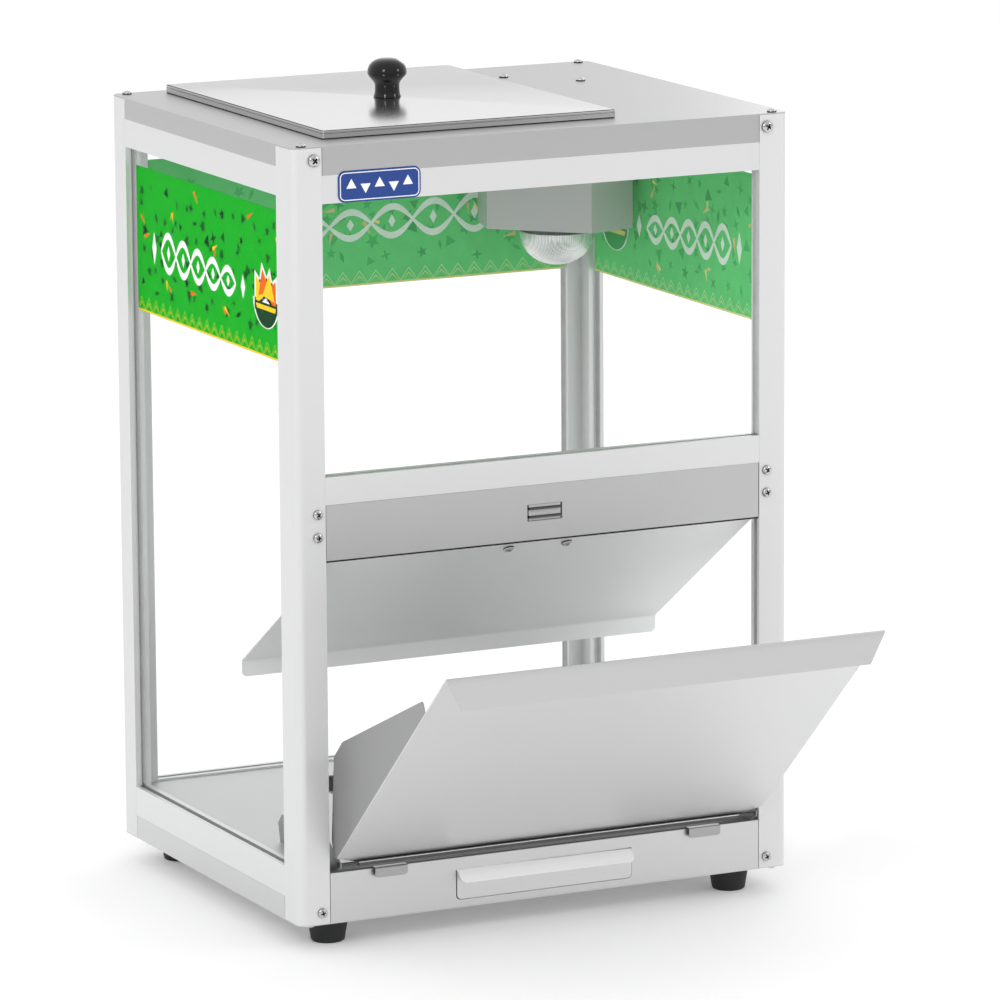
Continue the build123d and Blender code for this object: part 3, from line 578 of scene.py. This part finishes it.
def flourish(reach, centre):
    """White ornament: two crossing waves that shrink to the right, diamonds in and beside them.

    Each wave is a sine of the distance along it; its width swells with the sine's size."""
    shapes = []
    t = np.linspace(-1, 1, 161)
    for layer, phase in ((4, 0.0), (5, math.pi)):
        wave = np.sin(2.5 * math.pi * (t + 1) + phase)
        path = np.stack([t * reach * 0.84, (12.5 - 3.0 * t) * wave - 3.0 * t], 1)
        points, faces = ribbon(path, 1.0)
        line = np.concatenate([path, path])
        width = np.tile(2.2 + 3.6 * np.abs(wave), 2)[:, None]
        shapes.append(("white", layer, line + (points - line) * width + centre, faces))
    for number in range(5):
        t = (number - 2) * 0.4
        diamond = star((t * reach * 0.84, -3.0 * t), 5.6 - t, 3.4, 2, math.pi / 2)
        shapes.append(("white", 6, diamond + centre, [range(4)]))
    for t in (-1.0, 1.0):
        diamond = star((t * reach, -3.0 * t), 12.0 - 2 * t, 4.6, 2, math.pi / 2)
        shapes.append(("white", 6, diamond + centre, [range(4)]))
    return shapes


def chip_bowl(centre):
    """Plain drawing of a bowl of triangular chips with a white outline."""
    shapes = []
    chips = (
        (-13, 8, 0.5, "yellow"), (13, 8, -0.5, "orange"),
        (-4, 14, 0.2, "orange"), (6, 11, -0.1, "yellow"))
    for across, rise, lean, ink in chips:
        angles = np.radians([90, 210, 330]) + lean
        outline = np.stack([np.cos(angles), np.sin(angles)], 1)
        place = np.add(centre, (across, rise))
        shapes.append(("white", 6, outline * 19.0 + place, [range(3)]))
        shapes.append((ink, 7 + len(shapes) // 2, outline * 14.0 + place, [range(3)]))
    angles = np.linspace(math.pi, 2 * math.pi, 25)
    bowl = np.stack([np.cos(angles), 0.9 * np.sin(angles)], 1)
    shapes.append(("white", 6, bowl * 26.0 + centre + (0, 2.4), [range(25)]))
    shapes.append(("leaf", 12, bowl * 22.5 + centre, [range(25)]))
    rim = np.array([(-20, -2), (20, -2), (18, -6), (-18, -6)]) + centre
    shapes.append(("yellow", 13, rim, [range(4)]))
    return shapes


def banner(side, seed):
    """Film with its print on both faces, as one piece."""
    low, high = extent("banner_" + side)
    size = high - low
    length = size[0] if side == "rear" else size[1]
    outer = {"left": low[0], "right": high[0], "rear": high[1]}[side]
    parts, coats = [], []

    def onto(points, out):
        """From (u, v) on the film to the cabinet, out millimetres from its outer face."""
        u, v = np.asarray(points, float).T
        z = low[2] + v
        if side == "left":
            return np.stack([0 * u + outer - out, -u, z], 1)
        if side == "right":
            return np.stack([0 * u + outer + out, u, z], 1)
        return np.stack([-u, 0 * u + outer + out, z], 1)

    half = length / 2
    sheet = np.array([(-half, 0), (half, 0), (half, size[2]), (-half, size[2])])
    body = np.concatenate([onto(sheet, 0), onto(sheet, -0.6)])
    rims = [[first, first + 4, (first + 1) % 4 + 4, (first + 1) % 4] for first in range(4)]
    parts.append((body, [[0, 1, 2, 3], [7, 6, 5, 4]] + rims))
    coats += [0, len(inks)] + [0] * 4
    for ink, layer, points, faces in print_shapes(length, size[2], seed):
        points = np.clip(points, [-length / 2 + 0.3, 0.2], [length / 2 - 0.3, size[2] - 0.3])
        faces = [list(face) for face in faces]
        place = ink_names.index(ink)
        parts.append((onto(points, 0.012 * layer), faces))
        parts.append((onto(points, -0.6 - 0.012 * layer), [face[::-1] for face in faces]))
        coats += [place] * len(faces) + [place + len(inks)] * len(faces)
    points, faces = joined(parts)
    piece = put("banner_%s_printed" % side, points, faces, "cabinet", ink_list, 20,
                ["banner_" + side], coats)


banner("left", 11)
banner("right", 12)
banner("rear", 13)


# ---------------------------------------------------------------- Top cover and lid
# Satin stainless sheet cover with turned-down edges between the posts and a collar round
# the fill opening. The lid is a shallow pan turned over that collar, with a plastic knob.
edged("top_cover", 0.35, drawn_metal("cover_stainless", (0.50, 0.50, 0.505), 0.36, "y"))


def rounded_rectangle(low, high, corner, inset, steps):
    """Points round a rectangle with quarter circles of a radius at its corners, set in."""
    quarter = np.linspace(0, math.pi / 2, steps + 1)
    ring = []
    for number, (sx, sy) in enumerate(((1, 1), (-1, 1), (-1, -1), (1, -1))):
        x = (high[0] if sx > 0 else low[0]) - sx * corner
        y = (high[1] if sy > 0 else low[1]) - sy * corner
        angles = quarter + number * math.pi / 2
        reach = corner - inset
        ring.append(np.stack([x + reach * np.cos(angles), y + reach * np.sin(angles)], 1))
    return np.concatenate(ring)


def lid_outline(inset, height):
    """Ring round the lid at a height, set in from its outer wall."""
    low, high = extent("lid_pan")
    ring = rounded_rectangle(low[:2], high[:2], 3.0, inset, 6)
    return np.column_stack([ring, np.full(len(ring), frame_height + height)])


lid_height = 7.0
stations = [(1.0, 6.0), (1.0, 0.0), (0.8, 0.0), (0.0, 0.8), (0.0, 4.4), (0.35, 4.6), (0.35, 5.0)]
bend = np.linspace(0, math.pi / 2, 6)
stations += [(0.1 + 1.3 * (1 - math.cos(a)), 5.7 + 1.3 * math.sin(a)) for a in bend]
points = np.concatenate([lid_outline(inset, height) for inset, height in stations])
around = len(points) // len(stations)
faces = ring_faces(len(stations), around)
faces.append(list(range(around))[::-1])
faces.append(list(range(len(points) - around, len(points))))
lid_steel = drawn_metal("lid_stainless", (0.72, 0.72, 0.725), 0.20, "y")
rim_shade_steel = drawn_metal("lid_rim_painted_shade", (0.50, 0.50, 0.505), 0.36, "x")
shade_steel = drawn_metal("lid_edge_painted_shade", (0.07, 0.07, 0.07), 0.5, "x")
# Bands from the inner wall out and up: near-black painted shade on the lower edge, the pressed line
# and the upper bend; the outer wall between them has the rim finish, darker than the top as painted
# shade.
coats = np.zeros(len(faces), int)
coats[:(len(stations) - 1) * around] = np.repeat([0, 2, 2, 1, 2, 1, 1, 1, 1, 2, 2, 2], around)
put("lid_pan_pressed", points, faces, "lid", [lid_steel, rim_shade_steel, shade_steel], 30, ["lid_pan"],
    coats)


def gloss_plastic(name, colour, roughness=0.09):
    """Glossy moulded plastic with fine handling marks."""
    plastic = Finish(name, coat_weight=0.4, coat_roughness=0.03, specular_ior_level=0.2)
    marks = plastic.noise(220.0, (1, 1, 1), 4.0)
    plastic.set(base_color=plastic.blend(marks, colour, [channel * 1.3 + 0.001 for channel in colour]))
    plastic.set(roughness=marks * 0.08 + roughness)
    return plastic.material


black_gloss = gloss_plastic("black_gloss_plastic", (0.002, 0.002, 0.002))
knob_low, knob_high = extent("lid_knob")
knob_centre = (*(knob_low + knob_high)[:2] / 2, frame_height + lid_height)
swell = np.linspace(0, 1, 16)
dome = np.linspace(0, math.pi / 2 - 0.03, 18)
profile = [(2.6, 12), (2.6, 0), (11.2, 0), (11.6, 0.4)]
profile += [(10.3 + 1.3 * (1 - t) ** 3, 0.6 + 8.4 * t) for t in swell]
profile += [(10.3 + 6.2 * (1 - math.cos(math.pi * t)) / 2, 9.2 + 11.4 * t) for t in swell]
profile += [(16.5 * math.cos(a) ** 0.75, 20.8 + 11.7 * math.sin(a)) for a in dome[1:]]
points, faces = closed_turned(profile, knob_centre, 72)
put("lid_knob_moulded", points, faces, "lid", black_gloss, 40, ["lid_knob"])


# ---------------------------------------------------------------- Front band
# A flanged stainless band fixed under the middle rail, with the window through which the
# magnetic catch shows.
edged("front_band", 0.3, drawn_metal("band_stainless", (0.52, 0.52, 0.525), 0.36, "x"))


# ---------------------------------------------------------------- Deck hooks
# Two tabs of the inner floor's stainless sheet, bent down over the front panel, with
# rounded lower corners.
def folded(path, thickness, reach, shift=0.0):
    """Bent sheet: a path in (y, z), thickened to its left, carried along X.

    reach is half the length along X, one value or one for each point of the path."""
    path = np.asarray(path, float)
    steps = np.diff(path, axis=0)
    steps /= np.maximum(np.linalg.norm(steps, axis=1), 1e-9)[:, None]
    before = np.concatenate([steps[:1], steps])
    after = np.concatenate([steps, steps[-1:]])
    mean = before + after
    mean /= np.linalg.norm(mean, axis=1)[:, None]
    stretch = 1 / np.maximum((mean * after).sum(1), 0.3)
    other = path + np.stack([-mean[:, 1], mean[:, 0]], 1) * (thickness * stretch)[:, None]
    count = len(path)
    reach = np.broadcast_to(np.asarray(reach, float), count)
    rings = []
    for end in (-1, 1):
        for line in (path, other):
            rings.append(np.column_stack([shift + end * reach, line]))
    points = np.concatenate(rings)
    a = np.arange(count - 1)
    near, near_in, far, far_in = a, a + count, a + 2 * count, a + 3 * count
    faces = [
        np.stack([near, near + 1, far + 1, far], 1),
        np.stack([near_in, far_in, far_in + 1, near_in + 1], 1),
        np.stack([near, near_in, near_in + 1, near + 1], 1),
        np.stack([far, far + 1, far_in + 1, far_in], 1),
    ]
    last = count - 1
    ends = [[0, 2 * count, 3 * count, count], [last, last + count, last + 3 * count, last + 2 * count]]
    return points, np.concatenate(faces).tolist() + ends


# The tabs are darker than the rest of the deck's sheet: painted shade.
hook_shade_steel = drawn_metal("hook_painted_shade", (0.42, 0.42, 0.425), 0.40, "x")
front = -half_depth
deck_top, hook_low, hook_out, hook_half, hook_corner = 43.45, 35.2, 4.15, 14.6, 2.6
hooks = []
for side in (-144.5, 144.5):
    corners = [(front + 1.2, deck_top), (front - hook_out, deck_top), (front - hook_out, hook_low)]
    path = rounded(corners, (1.6,), 8)
    path = np.concatenate([path[:-1], np.linspace(path[-2], path[-1], 8)[1:]])
    reach = np.full(len(path), hook_half)
    along = np.clip(np.linspace(-1.6, 1, 7), 0, 1)
    reach[-7:] -= hook_corner * (1 - np.sqrt(1 - along ** 2))
    hooks.append(folded(path, -0.35, reach, side))
put("deck_hooks_bent", *joined(hooks), "cabinet", hook_shade_steel, 30)


# ---------------------------------------------------------------- Baffle and catch
# Behind the band a sloping stainless baffle with a turned-down lip holds the chips back.
# A thin black strip in the joint between them is painted shade for the dark line there, two
# screws hold the magnetic catch to the baffle, and plastic strips fill its window.
band_low = 302.0
baffle_front, baffle_half = front + 1.4, 194.0
fall_y, fall_z = -3.5, 184.0
lip_fall, lip_chamfer = 14.0, 3.0
corners = [(baffle_front, band_low + 12), (baffle_front, band_low + 1), (fall_y, fall_z),
           (fall_y, fall_z - lip_fall)]
path = rounded(corners, (1.2, 2.6), 8)
path = np.insert(path, len(path) - 1, [fall_y, fall_z - lip_fall + lip_chamfer], axis=0)
reach = np.full(len(path), baffle_half)
reach[-1] -= lip_chamfer
baffle_steel = drawn_metal("baffle_stainless", (0.92, 0.92, 0.925), 0.42, "x", 0.4)
points, faces = folded(path, 1.0, reach)
put("baffle_bent", points, faces, "cabinet", baffle_steel, 30, ["baffle"])
catch_grey = gloss_plastic("catch_grey_plastic", (0.32, 0.32, 0.325), 0.3)
dark_steel_and_rod_shade = drawn_metal("pole_steel_and_rod_painted_shade", (0.10, 0.10, 0.105), 0.35, "x")
# Black strip under the band: painted shade for the dark joint line.
joint_shade = rubber_finish("joint_painted_shade", (0.010, 0.010, 0.010))
shade_strip_low, shade_strip_high, shade_strip_half = 300.7, 301.95, 197.5
shade_strip_path = [(front + 0.55, shade_strip_low), (front + 1.3, shade_strip_low), (front + 1.3, shade_strip_high)]
points, faces = folded(shade_strip_path, 0.5, shade_strip_half)
put("joint_shade_strip", points, faces, "cabinet", joint_shade, 30)
pale_plastic = gloss_plastic("catch_face_plastic", (0.46, 0.46, 0.465), 0.3)
strips = []
for low, high in ((318.4, 320.3), (322.3, 327.2), (329.3, 331.4)):
    strips.append(folded([(front + 1.3, low), (front + 1.3, high)], 0.6, 14.4, -0.8))
put("catch_face_strips", *joined(strips), "cabinet", pale_plastic, 30)
edged("catch_body", 0.2, catch_grey)
edged("catch_magnet", 0.2, catch_grey)
edged("catch_plates", 0.15, dark_steel_and_rod_shade)


# ---------------------------------------------------------------- Lamp
# A reflector lamp with a prism-moulded glass face in a porcelain holder, behind a bent
# stainless shield hung from the cover.
edged("lamp_shield", 0.3, drawn_metal("shield_stainless", (0.60, 0.58, 0.595), 0.45, "z", 0.2))


def porcelain_finish():
    """White glazed porcelain, a little creamy, with faint unevenness."""
    glaze = Finish("white_porcelain", coat_weight=0.4, coat_roughness=0.08)
    cloud = glaze.noise(90.0)
    glaze.set(base_color=glaze.blend(cloud, (0.78, 0.76, 0.71), (0.86, 0.85, 0.81)))
    glaze.set(roughness=cloud * 0.12 + 0.18)
    return glaze.material


edged("lamp_socket", 0.8, porcelain_finish(), segments=3)
brass = drawn_metal("cap_brass", (0.72, 0.56, 0.27), 0.3, "z")
lamp_low, lamp_high = extent("lamp_bulb")
lamp_centre = tuple((lamp_low + lamp_high)[:2] / 2)
cap_bottom = extent("lamp_cap")[0][2]
t = np.linspace(0, 1, 60)
threads = 12.6 + 0.8 * np.cos(2 * math.pi * 5 * t)
profile = [(13.2, -0.0)] + list(zip(threads, 1 + 21 * t)) + [(9.0, 24.5), (5.0, 25.2), (4.6, 26.8)]
points, faces = closed_turned(profile, (*lamp_centre, cap_bottom), 48)
put("lamp_cap_threaded", points, faces, "cabinet", brass, 50, ["lamp_cap"])


def lamp_glass_finish():
    """Pressed clear glass over a bright reflector: pale, glossy, a little cloudy.

    Its grid of prisms is the size of sin(1500 x) times sin(1500 y), in metres; the colour
    follows the grid, white on the prisms and grey between them, as painted highlights."""
    glass = Finish("pressed_lamp_glass", coat_weight=0.8, coat_roughness=0.03, metallic=0.35)
    cloud = glass.noise(240.0, (1, 1, 1), 2.0)
    place = glass.node("ShaderNodeTexCoord", out=3)
    across, deep = (
        glass.node("ShaderNodeSeparateXYZ", {}, {"Vector": place}, out) * 1500 for out in (0, 1))
    grid = across.maths("SINE", across) * deep.maths("SINE", deep)
    grid = grid.maths("ABSOLUTE", grid)
    glass.set(base_color=glass.blend(grid * 0.8 + cloud * 0.2, (0.58, 0.58, 0.59), (1.0, 1.0, 1.0)))
    glass.set(roughness=cloud * 0.2 + 0.08)
    glass.bump(grid, 0.5, 0.0005)
    return glass.material


# The face is a dome whose radius grows with a sine and whose drop shrinks with the cosine.
# Prisms, a product of two sines, stand out from it and fade out 3 mm inside its rim.
rows, columns, face_radius = 60, 176, 32.5
down = np.linspace(0.02, 1, rows)
angles = np.linspace(0, 2 * math.pi, columns, endpoint=False)
radius = face_radius * np.sin(down * math.pi / 2)[:, None] + 0 * angles
x, y = radius * np.cos(angles), radius * np.sin(angles)
drop = 28.0 * np.cos(down * math.pi / 2)[:, None] + 0 * angles
fade = np.clip((face_radius - 3 - radius) / 3, 0, 1)
prisms = np.abs(np.sin(math.pi * x / 2.4) * np.sin(math.pi * y / 2.4)) * fade
face_z = 505.0 - drop + 0.9 * (1 - prisms) * fade
flare = [(face_radius, 507.0), (31.4, 507.8), (32.0, 509.0), (31.2, 514), (28.2, 527), (24, 539),
         (19, 555), (15.4, 570), (14.3, 578), (13.4, 588.4)]
reflector = turned(flare, (*lamp_centre, 0), columns)[0]
points = np.stack([lamp_centre[0] + x, lamp_centre[1] + y, face_z], -1).reshape(-1, 3)
points = np.concatenate([points, reflector])
total = rows + len(flare)
faces = ring_faces(total, columns) + [list(range(columns))[::-1]]
faces.append(list(range((total - 1) * columns, total * columns)))
coats = np.zeros(len(faces), int)
coats[(rows + 1) * columns:(rows + 3) * columns] = 1
put("lamp_bulb_pressed", points, faces, "cabinet", [lamp_glass_finish(), dark_steel_and_rod_shade], 40,
    ["lamp_bulb"], coats)


# ---------------------------------------------------------------- Door
# One bent stainless sheet: its bottom edge is curled round a steel rod, its top edge is
# folded over into a handle. Two wedge-shaped cheeks swing inside when the door closes,
# and two tongues on the curl meet ears on the hinge brackets when it is open.
door_joint = next(joint for joint in frame["joints"] if joint["name"] == "door_tilt")
hinge_y, hinge_z = ((np.array(door_joint["pos_m"]) - middle) * 1000)[1:]
open_angle = math.radians(47.6)
door_steel = drawn_metal("door_stainless", (0.75, 0.75, 0.755), 0.40, "x")
# The lip's finish is a darker copy of the door's and the curl's is nearly black: painted shade.
door_lip_shade_steel = drawn_metal("door_lip_painted_shade", (0.57, 0.57, 0.575), 0.38, "x")
curl_shade_steel = drawn_metal("door_curl_painted_shade", (0.10, 0.10, 0.10), 0.6, "x", 0.5)


def opened(points):
    """Turn points of the closed door about the hinge rod to where it stands open."""
    x, y, z = np.asarray(points, float).T
    y, z = y - hinge_y, z - hinge_z
    cos, sin = math.cos(open_angle), math.sin(open_angle)
    return np.stack([x, hinge_y + y * cos - z * sin, hinge_z + y * sin + z * cos], 1)


curl_radius, curl_half, door_half = 2.6, 175.0, 195.5
fold_height, lip_length, lip_slope = 343.2, 28.4, 13.0
curl = np.radians(np.linspace(-255, 0, 40))
path = [(hinge_y + curl_radius * math.cos(a), hinge_z + curl_radius * math.sin(a)) for a in curl]
face_y = hinge_y + curl_radius
fold = (face_y, fold_height)
lip_end = (
    fold[0] - lip_length * math.sin(open_angle), fold[1] - lip_length * math.cos(open_angle))
path += [(face_y, hinge_z + 0.01), (face_y, hinge_z + 8.1)]
path = np.array(path)
lip = rounded([path[-1], fold, lip_end], (1.35,), 10)
path = np.concatenate([path, lip[1:-1], np.linspace(lip[-2], lip_end, 6)[1:]])
# The curl is shorter than the face above it, so the lower corners slope, and the lip narrows.
reach = np.full(len(path), door_half)
reach[:41] = curl_half
reach[40] = curl_half + 2.25
reach[-5:] = door_half - lip_slope * np.linspace(0.2, 1, 5)
points, faces = folded(path, 1.0, reach)
# Near-black painted shade on most of the curl, the lip past the fold darker than the face as
# painted shade, door finish on the rest.
runs = np.arange(len(path) - 1)
run_coats = np.where(runs > 44, 1, np.where((runs > 1) & (runs < 36), 2, 0))
coats = np.concatenate([np.tile(run_coats, 4), [2, 1]])
tongues = []
rod_middle = np.array([hinge_y, hinge_z])
tongue_thick, tongue_half, tongue_lean = 1.2, 2.25, math.radians(-21)
for side in (-1, 1):
    run = np.array([math.cos(tongue_lean), math.sin(tongue_lean)])
    offset = np.array([-run[1], run[0]]) * -0.6
    path = [rod_middle + 2.2 * run + offset, rod_middle + 12 * run + offset]
    tongues.append(folded(path, tongue_thick, tongue_half, side * 172.75))
points, faces = joined([(points, faces)] + tongues)
coats = np.concatenate([coats, np.zeros(len(faces) - len(coats), int)])
put("door_panel_bent", opened(points), faces, "door", [door_steel, door_lip_shade_steel, curl_shade_steel], 30,
    ["door_panel"], coats)
# The cheeks are a dark copy of the door's stainless: painted shade.
cheek_shade_steel = drawn_metal("cheek_painted_shade", (0.35, 0.35, 0.355), 0.40, "z")
edged("door_cheek_left", 0.3, cheek_shade_steel, "door")
edged("door_cheek_right", 0.3, cheek_shade_steel, "door")
bright_steel = drawn_metal("zinc_plated_steel", (0.56, 0.56, 0.56), 0.16, "x")
# The brackets are a dark copy of the stainless sheet: painted shade.
bracket_shade_steel = drawn_metal("bracket_painted_shade", (0.36, 0.36, 0.365), 0.42, "y")
edged("hinge_bracket_left", 0.25, bracket_shade_steel)
edged("hinge_bracket_right", 0.25, bracket_shade_steel)
# The rod inside the curl is dressed near black: painted shade.
dress(dark_steel_and_rod_shade, "hinge_rod")
dress(bright_steel, "bracket_rivets")


# ---------------------------------------------------------------- Crumb drawer
# Folded stainless tray whose front lies in the panel's window, with a pull lip.
edged("drawer_tray", 0.25, sheet_deep, "drawer")
drawer_steel = drawn_metal("drawer_stainless", (0.68, 0.68, 0.685), 0.34, "x")
# The faces that look up and forward, the pull lip, get a near-white finish: painted light.
drawer_lip_light_steel = drawn_metal("drawer_lip_painted_light", (0.97, 0.97, 0.97), 0.32, "x", 0.15)
drawer_plate = edged("drawer_front", 0.35, drawer_steel, "drawer", 3)
recoat(drawer_plate, drawer_lip_light_steel, lambda at, out: (out[:, 2] > 0.3) & (out[:, 1] < -0.3))


# ---------------------------------------------------------------- Screws
# Zinc-plated pan-head screws with a cross recess, all of one shape in three sizes. They
# hold the posts to the rails, the cover, the base pan, the feet and the catch.
screw_rings, screw_rays = 26, 56


def screw_head(head, place, into):
    """Domed head as a polar grid: the dome's height falls with the radius squared, and a
    cross of two tapered arms is pressed into it."""
    rows, columns = screw_rings, screw_rays
    share = np.linspace(0.02, 1, rows) ** 0.8
    angles = np.linspace(0, 2 * math.pi, columns, endpoint=False)
    radius = (share * head / 2)[:, None] + 0 * angles
    u, v = radius * np.cos(angles), radius * np.sin(angles)
    rise = head * 0.32
    height = rise * (0.35 + 0.65 * np.sqrt(np.clip(1 - (share[:, None] + 0 * angles) ** 2.4, 0, 1)))

    def arm(along, across):
        taper = head * (0.085 - 0.10 * np.abs(along) / head)
        return np.clip((head * 0.30 - np.abs(along)) / (head * 0.10), 0, 1) * np.clip(
            (taper - np.abs(across)) / (head * 0.03), 0, 1)

    height = height - head * 0.20 * np.maximum(arm(u, v), arm(v, u))
    rim = np.stack([u[-1], v[-1], 0 * v[-1]], 1)
    points = np.concatenate([np.stack([u, v, height], -1).reshape(-1, 3), rim])
    faces = ring_faces(rows + 1, columns)
    faces.append(list(range(columns))[::-1])
    faces.append(list(range(len(points) - columns, len(points))))
    out = -np.asarray(into, float)
    side = np.array([1.0, 0, 0]) if abs(out[0]) < 0.9 else np.array([0, 1.0, 0])
    third = np.cross(out, side)
    lean = (place[0] * 0.37 + place[2] * 0.11) % 1.5
    first = side * math.cos(lean) + third * math.sin(lean)
    second = np.cross(out, first)
    return np.asarray(place) + points @ np.stack([first, second, out]), faces


def driven(name, places, stands_for):
    """Group of screw heads, each (size, place, direction into the work), as one mesh.

    The recess's faces and the rim are near black: painted shade."""
    points, faces = joined([screw_head(*place) for place in places])
    each = len(faces) // len(places)
    row, column = np.divmod(np.arange(screw_rings * screw_rays), screw_rays)
    share = (row / (screw_rings - 1)) ** 0.8 * 0.5
    angle = 2 * math.pi * (column + 0.5) / screw_rays
    along, across = np.abs(share * np.cos(angle)), np.abs(share * np.sin(angle))
    recess = (np.maximum(along, across) < 0.25) & (np.minimum(along, across) < 0.05)
    one = np.zeros(each, int)
    one[:len(row)] = recess | (row >= screw_rings - 1)
    put(name, points, faces, "cabinet", [screw_steel, screw_painted_shade_finish], 50, [stands_for],
        np.tile(one, len(places)))


screw_steel = drawn_metal("screw_zinc", (0.55, 0.55, 0.55), 0.16, "z")
# Near-black finish for recesses and rims: painted shade.
screw_painted_shade_finish = drawn_metal("screw_recess_painted_shade", (0.05, 0.05, 0.05), 0.45, "z")
heads = []
for side in (-205.0, 205.0):
    for end, heights in ((-1, (10.0, 322.0, 341.0, 629.0)), (1, (10.0, 629.0))):
        for height in heights:
            size = 10.0 if height > 600 else 8.0
            heads.append((size, (side, end * half_depth, height), (0, -end, 0)))
driven("post_screws_driven", heads, "post_screws")
corners = [(sx * 213.0, sy * 178.0) for sx in (-1, 1) for sy in (-1, 1)]
heads = [(8.0, (x, y, frame_height), (0, 0, -1)) for x, y in corners + [(113, 121), (161, 70)]]
driven("cover_screws_driven", heads, "cover_screws")
heads = [(8.0, (x, y, 0.0), (0, 0, 1)) for x, y in corners]
heads += [(8.0, (sx * 186.0, sy * 153.0, -9.1), (0, 0, 1)) for sx in (-1, 1) for sy in (-1, 1)]
driven("pan_screws_driven", heads, "pan_screws")
slope_top = np.array([baffle_front, band_low + 1])
slope = np.array([fall_y, fall_z]) - slope_top
slope /= np.linalg.norm(slope)
catch_y, catch_z = slope_top + 16.0 * slope
heads = [(9.0, (x, catch_y, catch_z), (0, -slope[1], slope[0])) for x in (-27.0, 26.0)]
driven("catch_screws_driven", heads, "catch_screws")
dress(screw_steel, "lid_screw")


# ---------------------------------------------------------------- Name plate
# Blue enamelled plate on the top rail's face, with a fine white border and a plain row of
# chips, no lettering.
plate_low, plate_high = extent("name_plate")


def plate_ring(inset, out):
    """Rounded rectangle set in from the plate's edge and out from the rail."""
    ring = rounded_rectangle(plate_low[::2], plate_high[::2], 6.0, inset, 8)
    return np.stack([ring[:, 0], np.full(len(ring), plate_high[1] - out), ring[:, 1]], 1)


stations = [(0.0, 0.0), (0.0, 0.55), (0.15, 0.75), (0.4, 0.85), (1.4, 0.85), (2.2, 0.85)]
points = np.concatenate([plate_ring(*station) for station in stations])
around = len(points) // len(stations)
faces = ring_faces(len(stations), around)
faces += [list(range(around))[::-1], list(range(len(points) - around, len(points)))]
coats = [0] * len(faces)
coats[4 * around:5 * around] = [1] * around
ornament = []
plate_middle = (plate_low + plate_high) / 2
for number in range(5):
    centre = (plate_middle[0] + (number - 2) * 12.5, plate_middle[2] + (-1) ** number * 1.0)
    angles = np.radians([90, 210, 330]) + (number % 2) * math.pi
    chip = np.stack([centre[0] + 5.2 * np.cos(angles), centre[1] + 5.2 * np.sin(angles)], 1)
    flat_chip = np.stack([chip[:, 0], np.full(3, plate_high[1] - 0.88), chip[:, 1]], 1)
    ornament.append((flat_chip, [[0, 1, 2]]))
points, faces = joined([(points, faces)] + ornament)
coats += [1] * len(ornament)
blue_enamel = gloss_plastic("blue_enamel", (0.010, 0.045, 0.230), 0.2)
white_enamel = gloss_plastic("white_enamel", (0.80, 0.80, 0.80), 0.2)
put("name_plate_enamelled", points, faces, "cabinet", [blue_enamel, white_enamel], 40,
    ["name_plate"], coats)


# ---------------------------------------------------------------- Switch and inlet
# Black rocker switch and three-pin appliance inlet, moulded in plastic and snapped into
# windows in the rear rail.
black_satin = gloss_plastic("black_satin_plastic", (0.010, 0.010, 0.011), 0.28)
edged("switch_bezel", 0.4, black_satin, segments=3)
edged("switch_rocker", 0.5, black_satin, "rocker", 3)
edged("power_inlet", 0.4, black_satin)
root, tip, blade_half = half_depth - 1.05 - 12, half_depth - 0.9, 2.05
blades = []
for x, z in ((150.7, 615.2), (157.7, 619.2), (164.7, 615.2)):
    low, high = z - blade_half, z + blade_half
    path = [(root, low), (tip, low), (tip, high), (root, high)]
    points = np.array([(x + sx * 0.95, *corner) for sx in (-1, 1) for corner in path])
    sides = [[0, 1, 2, 3], [7, 6, 5, 4], [0, 4, 5, 1], [1, 5, 6, 2], [2, 6, 7, 3], [3, 7, 4, 0]]
    blades.append((points, [side[::-1] for side in sides]))
put("inlet_blades", *joined(blades), "cabinet", brass, 30)
